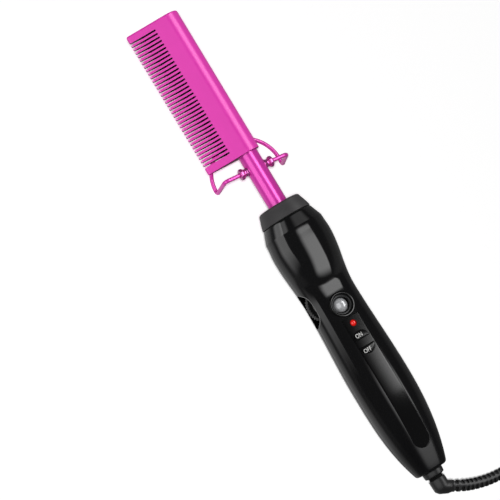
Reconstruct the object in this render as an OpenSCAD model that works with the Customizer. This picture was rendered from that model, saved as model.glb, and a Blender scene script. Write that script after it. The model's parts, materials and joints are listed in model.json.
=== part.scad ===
// Electric hot comb with a fold-out wire stand, lying on its stand and its handle.
// Inside the modules X runs along the heating stem: 0 is the collar's top face, + is toward
// the comb's tip, and handle stations are distances u behind that face, at X = -u.
// +Y is the side the teeth point to and +Z is the side with the buttons.

/* [Comb head] */
// Length of the heated comb
head_len = 93.5; // [60:0.5:110]
// Distance from the collar to the comb's lower end
head_gap = 34; // [30:0.5:50]
// Radius of the comb's round spine
spine_r = 7.85; // [7.5:0.05:9]
// Distance from the spine's axis to the tooth tips
tooth_reach = 27; // [22:0.5:32]
// Distance from the spine's axis to the bottom of the slots
slot_root = 10.6; // [10:0.1:14]
// Thickness of a tooth at its tip
tip_thick = 2.6; // [1.6:0.1:4]
// Distance from one slot to the next
slot_pitch = 2.38; // [2:0.01:4]
// Width of a slot between two teeth
slot_w = 1.08; // [0.8:0.01:1.5]
// Least width of the two end teeth
end_tooth = 3.4; // [2:0.1:6]

/* [Stem] */
// Outside radius of the stem tube
stem_r = 6; // [5.5:0.1:6.5]
// Wall of the stem tube
stem_wall = 0.8; // [0.5:0.1:1.2]
// How far the stem goes into the comb
stem_in_head = 14; // [8:0.5:20]
// Radius of the heating cartridge
heater_r = 5.7; // [4.5:0.1:5.9]
// Length of the heating cartridge
heater_len = 64; // [40:1:70]
// Radius of one lead
lead_r = 0.8; // [0.5:0.1:1]
// Sideways place of the leads in the stem
lead_y = 2.2; // [1.8:0.1:2.8]
// Height place of the leads in the stem
lead_z = 1.8; // [1.6:0.1:2.4]

/* [Wire stand] */
// Distance from the collar to the stand's pivot
pivot_gap = 24.2; // [18:0.1:28]
// Radius of the stand wire
wire_r = 1.2; // [0.9:0.05:1.5]
// Distance from the stem's middle to the top of a leg
leg_side = 20.8; // [19:0.1:24]
// How far the legs lean back towards the handle, in degrees
leg_lean = 6; // [0:0.5:10]
// How far the legs spread outwards, in degrees
leg_splay = 4; // [0:0.5:6]
// How far the stand's pin is turned from square with the stem, in degrees
stand_skew = 4.5; // [0:0.5:6]
// Drop from the pivot to the foot loop
leg_drop = 20; // [17:0.1:24]
// Inside bend of the wire, to its centre
wire_bend = 2.4; // [1.8:0.1:3.5]
// Radius of a bush's neck
bush_neck_r = 2.2; // [2:0.1:2.6]
// Radius of a bush's flange
bush_flange_r = 3.35; // [2.8:0.05:4]
// Thickness of a bush's flange
bush_flange = 2.4; // [2:0.1:4]
// Gap from the stem to a bush's flange
bush_gap = 2.4; // [1:0.1:3]

/* [Collar] */
// Length of the collar that shows
collar_h = 10; // [8:0.5:14]
// Radius of the collar's top edge
collar_top_r = 13.4; // [12:0.1:14]
// Radius of the collar at its seam
collar_r = 15.8; // [15.6:0.1:16.4]
// Rounding of the collar's top edge
collar_round = 2; // [1:0.1:3]
// Gap of the seam behind the collar
seam = 0.3; // [0.1:0.1:0.5]

/* [Handle] */
// Distance from the collar's top face to the handle's tail
handle_end = 178; // [168:1:190]
// Half width at the mouth
mouth_half = 15.6; // [15.4:0.1:16]
// Distance from the mouth to the crease
crease_len = 7.7; // [5:0.1:10]
// Half width at the crease
crease_half = 18.7; // [17.5:0.1:19.5]
// Height of the front at the crease
crease_top = 17; // [16:0.1:18]
// Depth of the back at the crease
crease_drop = 17.6; // [16.5:0.1:18]
// Half width of the bulge
bulge_half = 19.35; // [18.5:0.05:20]
// Depth of the back at the bulge
bulge_drop = 18.4; // [17.6:0.1:19]
// Half width at the waist
waist_half = 16; // [15.6:0.1:17]
// Height of the front at the waist
waist_top = 6.6; // [6:0.1:8]
// Half width of the grip
grip_half = 17.8; // [17:0.1:19]
// Height of the front of the grip
grip_top = 7; // [6.4:0.1:8]
// Depth of the grip's belly
belly_drop = 21.2; // [20.6:0.1:22]
// Half width at the tail
tail_half = 9.8; // [9.4:0.1:11]
// Wall of the two shells
wall = 2; // [1.8:0.1:2.2]
// Rounding of the tail's edge
tail_round = 1.5; // [1:0.1:2]

/* [Controls] */
// Distance from the collar to the window
window_at = 69.3; // [68:0.1:70]
// Radius of the window's dish
dish_r = 7.6; // [7.4:0.1:8.4]
// Radius of the clear dome in the dish
dome_r = 4.2; // [3.4:0.1:4.6]
// Distance from the collar to the wheel's axle
wheel_at = 63.2; // [62:0.1:64]
// Distance from the waist's side to the wheel's axle
wheel_inset = 10.4; // [10.2:0.1:10.6]
// Radius of the temperature wheel
wheel_r = 11.5; // [11.2:0.1:11.8]
// Thickness of the temperature wheel
wheel_thick = 4.8; // [4:0.1:5]
// Height of the wheel's top face
wheel_top = 0.7; // [0.5:0.1:0.9]
// Half width of the inlaid strip
strip_half = 5.5; // [5.3:0.1:6]
// Distance from the collar to the strip's tail end
strip_end = 164; // [158:1:166]
// Thickness of the inlaid strip
strip_thick = 1.8; // [1.2:0.1:2.2]
// Distance from the collar to the lamp
lamp_at = 81.8; // [81:0.1:82.5]
// Radius of the lamp
lamp_r = 1.8; // [1.5:0.1:2]
// Radius of the half-round buttons
button_r = 4.9; // [4.4:0.1:5]
// Distance from the collar to the ON button's flat edge
on_at = 92; // [91:0.1:92.5]
// Distance from the collar to the OFF button's flat edge
off_at = 96.7; // [96.2:0.1:98]
// How far a button can be pressed
press = 0.8; // [0.4:0.1:1]
// Height of a button above the strip
button_proud = 0.3; // [0.1:0.1:0.6]

/* [Electronics] */
// Thickness of both circuit boards
board_thick = 1.6; // [1:0.1:2]
// Half width of the main board
board_half = 10.5; // [8:0.5:11]
// Height of the main board's top face
board_z = -11; // [-11.5:0.1:-10.8]
// Height of the button board's top face
panel_z = -1.6; // [-2:0.1:-1.2]
// Radius of the shell screws' shanks
screw_r = 1.15; // [1:0.05:1.3]

/* [Cord] */
// Height of the cord's swivel axis
swivel_z = -10.5; // [-10.7:0.1:-10.2]
// Radius of the swivel's spindle
spindle_r = 4.35; // [4:0.05:4.6]
// Radius of the elbow's cap
elbow_r = 5.1; // [5:0.1:5.5]
// Radius of the strain relief at the elbow
boot_r = 3.5; // [3.2:0.1:3.6]
// Radius of the power cord
cord_r = 2.75; // [2.5:0.05:2.8]
// Number of ribs on the strain relief
boot_ribs = 16; // [8:1:18]
// Radius of the stored coil, to the middle of its turns
coil_mid_r = 29.5; // [28:0.25:33]
// Width of the plug's body
plug_w = 35.3; // [34:0.1:36]
// Thickness of the plug's body
plug_h = 13.7; // [12:0.1:15]
// Length of the plug's body
plug_len = 30; // [28:1:32]
// Radius of a plug pin
pin_r = 2; // [1.9:0.05:2.1]
// Length of a plug pin
pin_len = 19; // [17:0.5:20]
// Distance between the plug's two pins
pin_gap = 19; // [18.5:0.1:19.5]

/* [Fits] */
// Running clearance around a pin or shaft
run_gap = 0.05; // [0.02:0.01:0.08]
// Clearance around a moving or inlaid piece
gap = 0.15; // [0.1:0.01:0.2]
// Clearance between inner pieces
loose = 0.3; // [0.2:0.05:0.4]

/* [Hidden] */
$fn = 64;

// Colours
pink = [0.82, 0.28, 0.66];
black = [0.08, 0.08, 0.09];
grey = [0.24, 0.235, 0.24];
brass = [0.8, 0.65, 0.3];

// Handle stations, as distances behind the collar's top face
mouth_at = collar_h + seam;
crease_at = mouth_at + crease_len;
bulge_at = crease_at + 10;
waist_at = 62;
saddle_at = 66;
// The nose on the bulge: how long it dives, where its sides close in and where it ends
nose_len = 33;
nose_bend = crease_at + 20;
nose_tip = waist_at - 7;
grip_at = 118;
end_wall = 4;
end_flat = 8;
seat_at = handle_end - end_wall;
// Depth of the parting line below the stem's axis at the waist and at the grip
waist_part = 6;
grip_part = 7;
// Depth of the front below the stem's axis at the tail, and rise of the back there
tail_front = 1.8;
tail_rise = 2.4;
// Extra wall beside the temperature wheel
wheel_wall = 2.2;

// Rest pose: the stem lies level over the foot loop and the belly
axis_h = max(leg_drop + wire_r, belly_drop);
head_end = head_gap + head_len;
socket_len = 4;
socket_end = handle_end + socket_len;
elbow_at = socket_end + 1.4;
elbow_len = 7.6;
floor_z = -axis_h;

// The cord's way out of the elbow and down to the coil
exit_x = -elbow_at - 8;
coil_lift = 0.8;
coil_half = 3 * cord_r;
coil_x = exit_x - 46.1;
coil_y = -66;
lead_x = coil_x + coil_mid_r + 2 * cord_r;
strain_route = [[exit_x, -5, swivel_z - 0.1], [exit_x - 3.6, -12, swivel_z - 1.1],
    [exit_x - 6, -18, swivel_z - 2.4], [exit_x - 8, -25, swivel_z - 4],
    [exit_x - 9.3, -32, swivel_z - 5.6], [exit_x - 9.9, -39, swivel_z - 6.8],
    [lead_x + 1.1, -45, swivel_z - 7.4], [lead_x + 1.2, -50, swivel_z - 7.5]];
lead_route = [[lead_x + 1.2, -50, swivel_z - 7.5], [lead_x + 0.6, -55, swivel_z - 7.6],
    [lead_x + 0.1, -60, swivel_z - 7.5]];
// The strain relief starts this far along its route
boot_from = 0.1;
// The cord's way off the top of the coil and down to the plug
plug_x = coil_x - coil_mid_r - 2 * cord_r;
plug_y = -34;
plug_neck = 10;
plug_z = floor_z + plug_h / 2;
coil_top_z = floor_z + coil_lift + 5 * cord_r;
plug_route = [[plug_x, -58, coil_top_z], [plug_x, -53, coil_top_z - 0.6],
    [plug_x, -47.5, coil_top_z - 2.5], [plug_x, -42, plug_z + 2.3],
    [plug_x, -37, plug_z + 0.35], [plug_x, plug_y, plug_z]];

// From the end of a straight length of the stand's wire to the middle of a joint, and what the
// joint adds to the wire's radius
joint_gap = 0.1;
joint_extra = 0.03;
// The +Y leg from its pivot: its top, its heading, the middle of its foot bend and its foot
leg_way = [-cos(leg_splay) * sin(leg_lean), sin(leg_splay), -cos(leg_splay) * cos(leg_lean)];
leg_tilt = asin(-leg_way[0]);
foot_up = [0, -leg_way[1], -leg_way[2]] / cos(leg_tilt);
arm_end = leg_side - wire_bend;
leg_top = [wire_bend * (sin(leg_splay) - 1) * sin(leg_lean), arm_end + wire_bend * cos(leg_splay),
    wire_bend * (sin(leg_splay) - 1) * cos(leg_lean)];
leg_len = (leg_top[2] + leg_drop - joint_extra - wire_bend * foot_up[2] * (1 + sin(leg_tilt)))
    / -leg_way[2];
foot_mid = leg_top + leg_len * leg_way + wire_bend * ([cos(leg_tilt), 0, 0] - sin(leg_tilt) * foot_up);
foot = foot_mid - wire_bend * foot_up;

// The comb's own corners without its cord: the elbow's corner is where the relief starts
elbow_tip = min([for (p = ring_points(curve(strain_route, boot_from),
    heading(strain_route, boot_from), boot_r, 12)) p[0]]);
mid_x = (head_end + min(-elbow_at - elbow_len, elbow_tip)) / 2;
mid_y = (tooth_reach - foot[1] - wire_r - foot[0] * sin(stand_skew)) / 2;

// Inside places
wheel_side = waist_half - wheel_inset;
bush_in = stem_r - stem_wall - 0.4;
bush_face = stem_r + bush_gap;
bore_r = stem_r + run_gap;
anchor_from = mouth_at + 3.4;
anchor_len = 7;
block_at = 26;
block_len = 14;
hub_r = 3;
shaft_r = 1.95;
wheel_bottom = wheel_top - wheel_thick;
board_from = 52;
ring_at = seat_at - 23;
board_to = ring_at - 13;
panel_from = 78.4;
panel_to = 107.6;
panel_half = 10.5;
post_r = 2.2;
// Height of a shell screw's head
head_h = 1.6;
flange_h = 0.9;
flange_out = 1.2;
// Tall enough for a cut to pass right through the front
cut_h = crease_top + wall;
seat_r = 6.3;
ring_r = 6.4;
ring_end_r = 4.8;
barrel_r = 5.6;
barrel_in = seat_at - 9;
contact_r = 3.8;
contact_step = 4.5;
screw_spots = [[47.5, 9], [47.5, -9], [ring_at - 6, 10.6], [ring_at - 6, -10.6]];
panel_spots = [[81.2, 8.4], [81.2, -8.4], [104.8, 8.4], [104.8, -8.4]];
board_spots = [[80, 8], [80, -8], [109, 8], [109, -8]];

function ramp(u, a, b) = min(1, max(0, (u - a) / (b - a)));
function blend(u, a, b) = let (t = ramp(u, a, b)) t * t * (3 - 2 * t);
function tail_share(u) = ramp(u, grip_at, handle_end);

// Half width of the handle, its front, nose and back heights and its parting line
function half_w(u) = mouth_half
    + (crease_half - mouth_half) * ramp(u, mouth_at, crease_at)
    + (bulge_half - crease_half) * blend(u, crease_at, bulge_at)
    + (waist_half - bulge_half) * blend(u, bulge_at, waist_at)
    + (grip_half - waist_half) * blend(u, waist_at, grip_at)
    - (grip_half - tail_half) * pow(tail_share(u), 2.6);
function front_z(u) = mouth_half
    + (crease_top - mouth_half) * ramp(u, mouth_at, crease_at)
    + (waist_top - crease_top) * blend(u, crease_at, waist_at)
    + (grip_top - waist_top) * blend(u, saddle_at, grip_at)
    - (grip_top + tail_front) * pow(tail_share(u), 3.1);
// The nose: a tongue that runs on from the bulge above the front, narrows and dives to the waist
function nose_z(u) = crease_top - 0.06 * (u - crease_at)
    - 0.6 * (crease_top - waist_top) * pow(max(0, u - crease_at - 2) / nose_len, 3.6);
function nose_half(u) = bulge_half * 0.93
    * sqrt(max(0.02, 1 - pow(max(0, u - nose_bend) / (nose_tip - nose_bend), 2)));
function back_z(u) = -mouth_half
    - (crease_drop - mouth_half) * ramp(u, mouth_at, crease_at)
    - (bulge_drop - crease_drop) * blend(u, crease_at, bulge_at)
    - (belly_drop - bulge_drop) * blend(u, bulge_at, grip_at)
    + tail_rise * pow(tail_share(u), 2.5);
function part_z(u) = -waist_part * blend(u, crease_at, saddle_at)
    - (grip_part - waist_part) * blend(u, saddle_at, grip_at)
    + (swivel_z + grip_part) * blend(u, grip_at, handle_end - end_flat);
function roundness(u) = 2 / (2 + 0.4 * blend(u, crease_at, waist_at));
function edge_inset(u) = u <= handle_end - tail_round ? 0
    : tail_round - sqrt(pow(tail_round, 2) - pow(u - handle_end + tail_round, 2));
function above_zero(v, blur) = (v + sqrt(v * v + blur * blur)) / 2;
function hump(u, y) = u < crease_at ? 0
    : above_zero(nose_z(u) - front_z(u), 0.6 * blend(u, nose_bend - 2, nose_tip - 3))
        * above_zero(1 - pow(y / nose_half(u), 2), 0.1);
// The wall is thicker beside the wheel, on the front shell's +Y side
function wheel_pad(u) = wheel_wall * blend(u, 44, 50) * (1 - blend(u, 76, 82));

function power(v, p) = sign(v) * pow(abs(v), p);
// A point of the handle's section: a is its angle, t the inset, side_pad a thicker +Y wall
function skin(u, a, t, side_pad = 0) =
    let (
        inset = t + edge_inset(u),
        w = half_w(u) - inset - (cos(a) > 0 ? side_pad : 0),
        h = (a <= 180 ? front_z(u) - part_z(u) : part_z(u) - back_z(u)) - inset,
        y = w * power(cos(a), roundness(u)),
        z = part_z(u) + h * power(sin(a), roundness(u))
    ) [-u, y, z + (a <= 180 ? hump(u, y) : 0)];
function hole_point(u, a, r) = [-u, r * cos(a), part_z(u) + r * sin(a)];
// Height of the front skin over a point, and of the back skin under it
function front_at(u, y, t = 0) = let (
        w = half_w(u) - t, p = 2 / roundness(u), h = front_z(u) - part_z(u) - t
    ) part_z(u) + h * pow(max(0, 1 - pow(abs(y) / w, p)), 1 / p) + hump(u, y);
function back_at(u, y, t = 0) = let (
        w = half_w(u) - t, p = 2 / roundness(u), h = part_z(u) - back_z(u) - t
    ) part_z(u) - h * pow(max(0, 1 - pow(abs(y) / w, p)), 1 / p);

// Vectors and swept tubes
function unit(v) = v / norm(v);
function curve(p, t) = let (
        i = min(floor(t), len(p) - 2), f = t - i,
        a = p[max(i - 1, 0)], b = p[i], c = p[i + 1], d = p[min(i + 2, len(p) - 1)]
    ) b + (c - a) * f / 2 + (2 * a - 5 * b + 4 * c - d) * f * f / 2
        + (3 * b - a - 3 * c + d) * f * f * f / 2;
function heading(p, t) = unit(curve(p, min(t + 0.01, len(p) - 1)) - curve(p, max(t - 0.01, 0)));
function ring_points(at, d, r, sides) = let (
        side = unit(cross(d, [0, 0, 1])), up = cross(side, d)
    ) [for (k = [0 : sides - 1]) at + r * cos(360 * k / sides) * side + r * sin(360 * k / sides) * up];

// A closed skin through rings of points, each with the same number of points. The points of a
// paired ring run along its outside and back along its inside, so its end is closed in strips.
module loft(rings, paired = false) {
    n = len(rings[0]);
    last = len(rings) - 1;
    points = [for (r = rings) for (p = r) p];
    sides = [for (i = [0 : last - 1]) for (k = [0 : n - 1])
        [i * n + k, i * n + (k + 1) % n, (i + 1) * n + (k + 1) % n, (i + 1) * n + k]];
    start = paired ? [for (k = [0 : n / 2 - 2]) [n - 1 - k, n - 2 - k, k + 1, k]]
        : [[for (k = [n - 1 : -1 : 0]) k]];
    end = [for (f = start) [for (k = [len(f) - 1 : -1 : 0]) last * n + f[k]]];
    polyhedron(points, concat(sides, start, end));
}

// A round tube along a route: steps is a list of [place on the route, radius]
module tube(route, steps, sides) {
    loft([for (s = steps) ring_points(curve(route, s[0]), heading(route, s[0]), s[1], sides)]);
}

module wire(route, r, sides = 8) {
    last = len(route) - 1;
    tube(route, [for (t = [0 : 0.5 : last]) [t, r]], sides);
}

// A cylinder along +X
module rod(x, len, r, r2 = -1) {
    translate([x, 0, 0]) rotate([0, 90, 0])
        cylinder(h = len, r1 = r, r2 = r2 < 0 ? r : r2);
}

// A cylinder along +Z at a handle station
module peg(u, y, z, h, r) {
    translate([-u, y, z]) cylinder(h = h, r = r);
}

// A block given by its stations, its half width and its heights
module slab(from, to, half, z, h, y = 0) {
    translate([-to, y - half, z]) cube([to - from, 2 * half, h]);
}

module shell(from_angle) {
    steps = 20;
    ways = [for (k = [0 : steps]) from_angle + 180 * k / steps];
    backs = [for (k = [steps : -1 : 0]) from_angle + 180 * k / steps];
    bends = concat([for (i = [1 : 13]) crease_at + (waist_at - crease_at) * i / 13],
        [for (i = [1 : 17]) waist_at + (seat_at - waist_at) * i / 17]);
    hollow = concat([mouth_at, (mouth_at + crease_at) / 2, crease_at], bends);
    solid = [seat_at + 0.5, handle_end - tail_round, handle_end - tail_round * 0.5,
        handle_end - tail_round * 0.15, handle_end];
    pad = from_angle == 0 ? 1 : 0;
    loft(concat(
        [for (u = hollow) concat([for (a = ways) skin(u, a, 0)],
            [for (a = backs) skin(u, a, wall, pad * wheel_pad(u))])],
        [for (u = solid) concat([for (a = ways) skin(u, a, 0)],
            [for (a = backs) hole_point(u, a, barrel_r + loose)])]), true);
}

// The half-round outline of a button: its flat edge lies at Y = 0 and its arc at +Y
module half_round(r) {
    intersection() {
        circle(r);
        translate([-r - 1, 0]) square([2 * r + 2, r + 1]);
    }
}

// A half-round prism whose arc points to the head (way = 1) or to the tail (way = -1)
module button_prism(at, way, r, z, h, back = 0) {
    translate([-at - way * back, 0, z]) linear_extrude(h)
        rotate(way > 0 ? -90 : 90) half_round(r);
}

// The inlaid strip: its outline narrows to a round tail end, and its top follows the skin
strip_from = window_at + dish_r + 0.9;

module strip_form() {
    bend = strip_end - strip_half;
    stations = concat([for (i = [0 : 14]) strip_from + (bend - strip_from) * i / 14],
        [for (a = [20, 40, 60, 75, 84]) bend + strip_half * sin(a)]);
    function half_here(u) = u <= bend ? strip_half : sqrt(pow(strip_half, 2) - pow(u - bend, 2));
    shares = [1, 0.6, 0.2, -0.2, -0.6, -1];
    loft([for (u = stations) concat(
        [for (s = shares) [-u, s * half_here(u), front_at(u, s * half_here(u))]],
        [for (i = [5 : -1 : 0]) let (y = shares[i] * half_here(u)) [-u, y, front_at(u, y) - strip_thick]])],
        true);
}

module strip_cut() {
    half = strip_half + gap;
    bend = strip_end - strip_half;
    linear_extrude(cut_h) polygon(concat([[-strip_from + gap, half], [-strip_from + gap, -half]],
        [for (a = [-90 : 10 : 90]) [-bend - half * cos(a), half * sin(a)]]));
}

module comb_head() {
    count = floor((head_len - 2 * end_tooth + slot_pitch - slot_w) / slot_pitch);
    span = (count - 1) * slot_pitch + slot_w;
    first = head_gap + (head_len - span) / 2;
    color(pink) difference() {
        union() {
            rod(head_gap, head_len, spine_r);
            translate([head_gap, 0, 0]) rotate([90, 0, 90]) linear_extrude(head_len)
                polygon([[0.22 * spine_r, -0.94 * spine_r], [tooth_reach, -tip_thick / 2],
                    [tooth_reach, tip_thick / 2], [0.22 * spine_r, 0.94 * spine_r]]);
        }
        rod(head_gap - 1, head_len + 2, bore_r);
        for (i = [0 : count - 1])
            translate([first + i * slot_pitch, slot_root, -spine_r])
                cube([slot_w, tooth_reach, 2 * spine_r]);
    }
}

module tip_plug() {
    color(pink) rod(head_end - 4.3, 4, bore_r - run_gap);
}

heater_from = head_gap + stem_in_head + 6;
fuse_from = heater_from - 22;
fuse_len = 10;
fuse_r = 1.7;

module heater_cartridge() {
    color("silver") rod(heater_from, min(heater_len, head_end - 5 - heater_from), heater_r);
}

module thermistor() {
    color("tan") translate([0, 0, -lead_z]) rod(heater_from - 4, 4, 1.3);
}

module thermal_fuse() {
    color("white") translate([0, lead_y, lead_z]) rod(fuse_from, fuse_len, fuse_r);
}

module heater_leads() {
    start = -block_at;
    color("white") {
        translate([0, lead_y, lead_z]) rod(start, fuse_from - start, lead_r);
        translate([0, lead_y, lead_z]) rod(fuse_from + fuse_len,
            heater_from - fuse_from - fuse_len, lead_r);
        translate([0, -lead_y, lead_z]) rod(start, heater_from - start, lead_r);
        for (y = [-lead_r - 0.1, lead_r + 0.1])
            translate([0, y, -lead_z]) rod(start, heater_from - 4 - start, lead_r);
    }
}

module stem_tube() {
    back = anchor_from + anchor_len;
    color(pink) difference() {
        rod(-back, back + head_gap + stem_in_head, stem_r);
        rod(-back - 1, back + head_gap + stem_in_head + 2, stem_r - stem_wall);
        translate([pivot_gap, 0, 0]) rotate([90, 0, -stand_skew])
            cylinder(h = 4 * stem_r, r = bush_neck_r + run_gap, center = true);
    }
}

module stem_anchor() {
    color("sienna") difference() {
        rod(-anchor_from - anchor_len, anchor_len, mouth_half - wall - loose);
        rod(-anchor_from - anchor_len - 1, anchor_len + 2, bore_r);
    }
}

module collar() {
    spigot = 3;
    color(grey) rotate([0, 90, 0]) rotate_extrude() polygon(concat(
        [[bore_r, -mouth_at - spigot], [mouth_half - wall - gap, -mouth_at - spigot],
            [mouth_half - wall - gap, -collar_h], [collar_r, -collar_h]],
        [for (a = [0 : 15 : 90]) [collar_top_r - collar_round + collar_round * cos(a),
            -collar_round + collar_round * sin(a)]],
        [[bore_r, 0]]));
}

module stand_bushes() {
    color(pink) translate([pivot_gap, 0, 0]) for (side = [-90, 90]) rotate([side, 0, -stand_skew])
        difference() {
            union() {
                translate([0, 0, bush_in]) cylinder(h = bush_face - bush_in + 0.5, r = bush_neck_r);
                translate([0, 0, bush_face]) cylinder(h = bush_flange, r = bush_flange_r);
            }
            translate([0, 0, stem_r]) cylinder(h = 2 * bush_face, r = wire_r + run_gap);
        }
}

// The ball, a hair thicker than the wire, in which two lengths of it meet
module wire_joint() {
    sphere(wire_r + joint_extra, $fn = 32);
}

// A bend of the stand's wire about the origin in the X-Y plane
module wire_arc(from, angle, r = wire_bend) {
    rotate_extrude(angle = angle, start = from, $fn = 64) translate([r, 0]) circle(wire_r, $fn = 32);
}

// Half of the stand, from its pivot: the arm, the leg and the foot bend of the +Y side
module stand_side() {
    rotate([0, leg_lean, 0]) {
        translate([0, stem_r + 0.4, 0]) rotate([-90, 0, 0])
            cylinder(h = arm_end - joint_gap - stem_r - 0.4, r = wire_r, $fn = 32);
        translate([0, arm_end, 0]) rotate([90, 0, 0]) wire_joint();
        translate([0, arm_end, -wire_bend]) rotate([90, 0, 90]) wire_arc(leg_splay, 90 - leg_splay);
        translate([0, arm_end + wire_bend * cos(leg_splay), wire_bend * (sin(leg_splay) - 1)])
            rotate([180 + leg_splay, 0, 0]) {
                wire_joint();
                translate([0, 0, joint_gap])
                    cylinder(h = leg_len - 2 * joint_gap, r = wire_r, $fn = 32);
                translate([0, 0, leg_len]) wire_joint();
            }
    }
    translate(foot_mid) rotate([90 + asin(-foot_up[1]), 0, 0]) wire_arc(180 - leg_tilt, 90 + leg_tilt);
    translate(foot) rotate([0, 90, 0]) wire_joint();
}

module stand_wire() {
    color(pink) translate([pivot_gap, 0, 0]) rotate([0, 0, -stand_skew]) {
        stand_side();
        mirror([0, 1, 0]) stand_side();
        translate([foot[0], 0, foot[2]]) wire_arc(-90, 180, foot[1]);
    }
}

// Height of a screw head's seat over the back skin
function seat_z(s) = back_at(s[0], s[1]) + 2 * head_h;

module front_shell() {
    lens_half = 12.3;
    lens_rise = 3.7;
    lens_r = (lens_half * lens_half + lens_rise * lens_rise) / (2 * lens_rise);
    slot_half = sqrt(pow(wheel_r, 2) - pow(waist_half - wall - wheel_wall - wheel_side, 2)) + 0.9;
    color(black) difference() {
        union() {
            shell(0);
            for (s = screw_spots)
                peg(s[0], s[1], part_z(s[0]) + loose,
                    front_at(s[0], s[1]) - wall / 2 - part_z(s[0]) - loose, 2.6);
            for (s = panel_spots)
                peg(s[0], s[1], panel_z, front_at(s[0], s[1]) - wall / 2 - panel_z, post_r);
        }
        for (s = screw_spots)
            peg(s[0], s[1], part_z(s[0]) - 1, grip_part + 1, screw_r + run_gap);
        for (s = panel_spots)
            peg(s[0], s[1], panel_z - 1, 4.4, 0.8 + run_gap);
        peg(window_at, 0, wheel_top, cut_h, dish_r + gap);
        strip_cut();
        peg(lamp_at, 0, 0, cut_h, lamp_r + gap);
        button_prism(on_at, 1, button_r + gap, 0, cut_h, gap);
        button_prism(off_at, -1, button_r + gap, 0, cut_h, gap);
        slab(wheel_at - slot_half, wheel_at + slot_half, 6, wheel_bottom - 0.4,
            wheel_thick + 0.9, waist_half - 1.2);
        translate([-wheel_at, waist_half - 2.5, wheel_top - wheel_thick / 2]) rotate([-90, 0, 0])
            linear_extrude(12) intersection() {
                translate([0, lens_r - lens_rise]) circle(lens_r);
                translate([0, lens_rise - lens_r]) circle(lens_r);
            }
    }
}

module rear_shell() {
    color(black) difference() {
        union() {
            shell(180);
            for (s = screw_spots)
                peg(s[0], s[1], back_at(s[0], s[1]) + wall / 2,
                    part_z(s[0]) - back_at(s[0], s[1]) - wall / 2, 3.6);
            for (s = board_spots)
                peg(s[0], s[1], back_at(s[0], s[1]) + wall / 2,
                    board_z - board_thick - back_at(s[0], s[1]) - wall / 2, post_r);
            for (u = [block_at + 3, block_at + block_len - 3])
                peg(u, 0, back_at(u, 0) + wall / 2, -5 - back_at(u, 0) - wall / 2, post_r);
            peg(ring_at - 7, 0, back_at(ring_at - 7, 0) + wall / 2,
                swivel_z - 5 - back_at(ring_at - 7, 0) - wall / 2, post_r);
        }
        for (s = screw_spots) {
            peg(s[0], s[1], floor_z - 1, axis_h + 1, screw_r + gap);
            peg(s[0], s[1], floor_z - 1, seat_z(s) - floor_z + 1, 2 * screw_r + gap);
        }
        for (s = board_spots)
            peg(s[0], s[1], board_z - board_thick - 3, 4, 0.8 + run_gap);
    }
}

module shell_screws() {
    color("dimgray") for (s = screw_spots) {
        peg(s[0], s[1], seat_z(s) - head_h, head_h, 2 * screw_r);
        peg(s[0], s[1], seat_z(s), part_z(s[0]) + grip_part - 1 - seat_z(s), screw_r);
    }
}

module control_strip() {
    color([0.12, 0.12, 0.13]) difference() {
        strip_form();
        peg(lamp_at, 0, 0, cut_h, lamp_r + gap);
        button_prism(on_at, 1, button_r + gap, 0, cut_h, gap);
        button_prism(off_at, -1, button_r + gap, 0, cut_h, gap);
    }
}

// Width that the wheel keeps black round its number disc
disc_margin = 2.8;

// The dish's rim stands level with the skin at its middle
rim_z = front_at(window_at, 0) + 0.1;
dish_floor = wheel_top + 0.9;

module window_bezel() {
    lip = 0.6;
    deep = rim_z - dish_floor - 0.8;
    color(black) translate([-window_at, 0, 0]) rotate_extrude() polygon(concat(
        [[dome_r + gap, dish_floor], [dish_r, dish_floor], [dish_r, rim_z], [dish_r - lip, rim_z]],
        [for (a = [10 : 16 : 90]) [dish_r - lip - (dish_r - lip - dome_r - gap) * sin(a),
            rim_z - deep * (1 - pow(cos(a), 1.6))]]));
}

module window_dome() {
    cap = 2.2;
    big = (dome_r * dome_r + cap * cap) / (2 * cap);
    edge = dish_floor + 1.8;
    top = asin(dome_r / big);
    color([0.8, 0.81, 0.83]) translate([-window_at, 0, 0]) rotate_extrude() polygon(concat(
        [[0, dish_floor - 0.4], [dome_r, dish_floor - 0.4]],
        [for (i = [0 : 8]) let (a = top * (1 - i / 8)) [big * sin(a), edge + cap - big + big * cos(a)]]));
}

module temperature_wheel() {
    teeth = 44;
    notch = 0.5;
    color([0.1, 0.1, 0.1]) translate([-wheel_at, wheel_side, 0]) {
        translate([0, 0, wheel_bottom]) linear_extrude(wheel_thick)
            polygon([for (i = [0 : teeth - 1]) for (k = [0 : 3])
                let (a = (i + [0.05, 0.25, 0.55, 0.75][k]) * 360 / teeth,
                    r = (k == 1 || k == 2) ? wheel_r : wheel_r - notch) r * [cos(a), sin(a)]]);
        translate([0, 0, wheel_bottom - 3.4]) cylinder(h = 3.6, r = shaft_r);
    }
}

module number_disc() {
    color("white") translate([-wheel_at, wheel_side, wheel_top]) cylinder(h = 0.3, r = wheel_r - disc_margin);
}

module potentiometer() {
    half = 5.6;
    top = wheel_bottom - 0.1;
    color("steelblue") difference() {
        union() {
            slab(wheel_at - half, wheel_at + half, half, board_z, top - 1.2 - board_z, wheel_side);
            peg(wheel_at, wheel_side, board_z + 1, top - board_z - 1, hub_r);
        }
        peg(wheel_at, wheel_side, wheel_bottom - 3.6, 5, shaft_r + run_gap);
    }
}

module status_lamp() {
    top = front_at(lamp_at, 0) + 0.3;
    color([0.86, 0.08, 0.08]) {
        peg(lamp_at, 0, 2.6, top - lamp_r - 2.6, lamp_r);
        translate([-lamp_at, 0, top - lamp_r]) intersection() {
            sphere(lamp_r);
            cylinder(h = lamp_r, r = lamp_r + 1);
        }
        peg(lamp_at, 0, 2, 0.7, lamp_r + 0.5);
        for (y = [-0.9, 0.9])
            slab(lamp_at - 0.25, lamp_at + 0.25, 0.25, panel_z, 2.1 - panel_z, y);
    }
}

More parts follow.
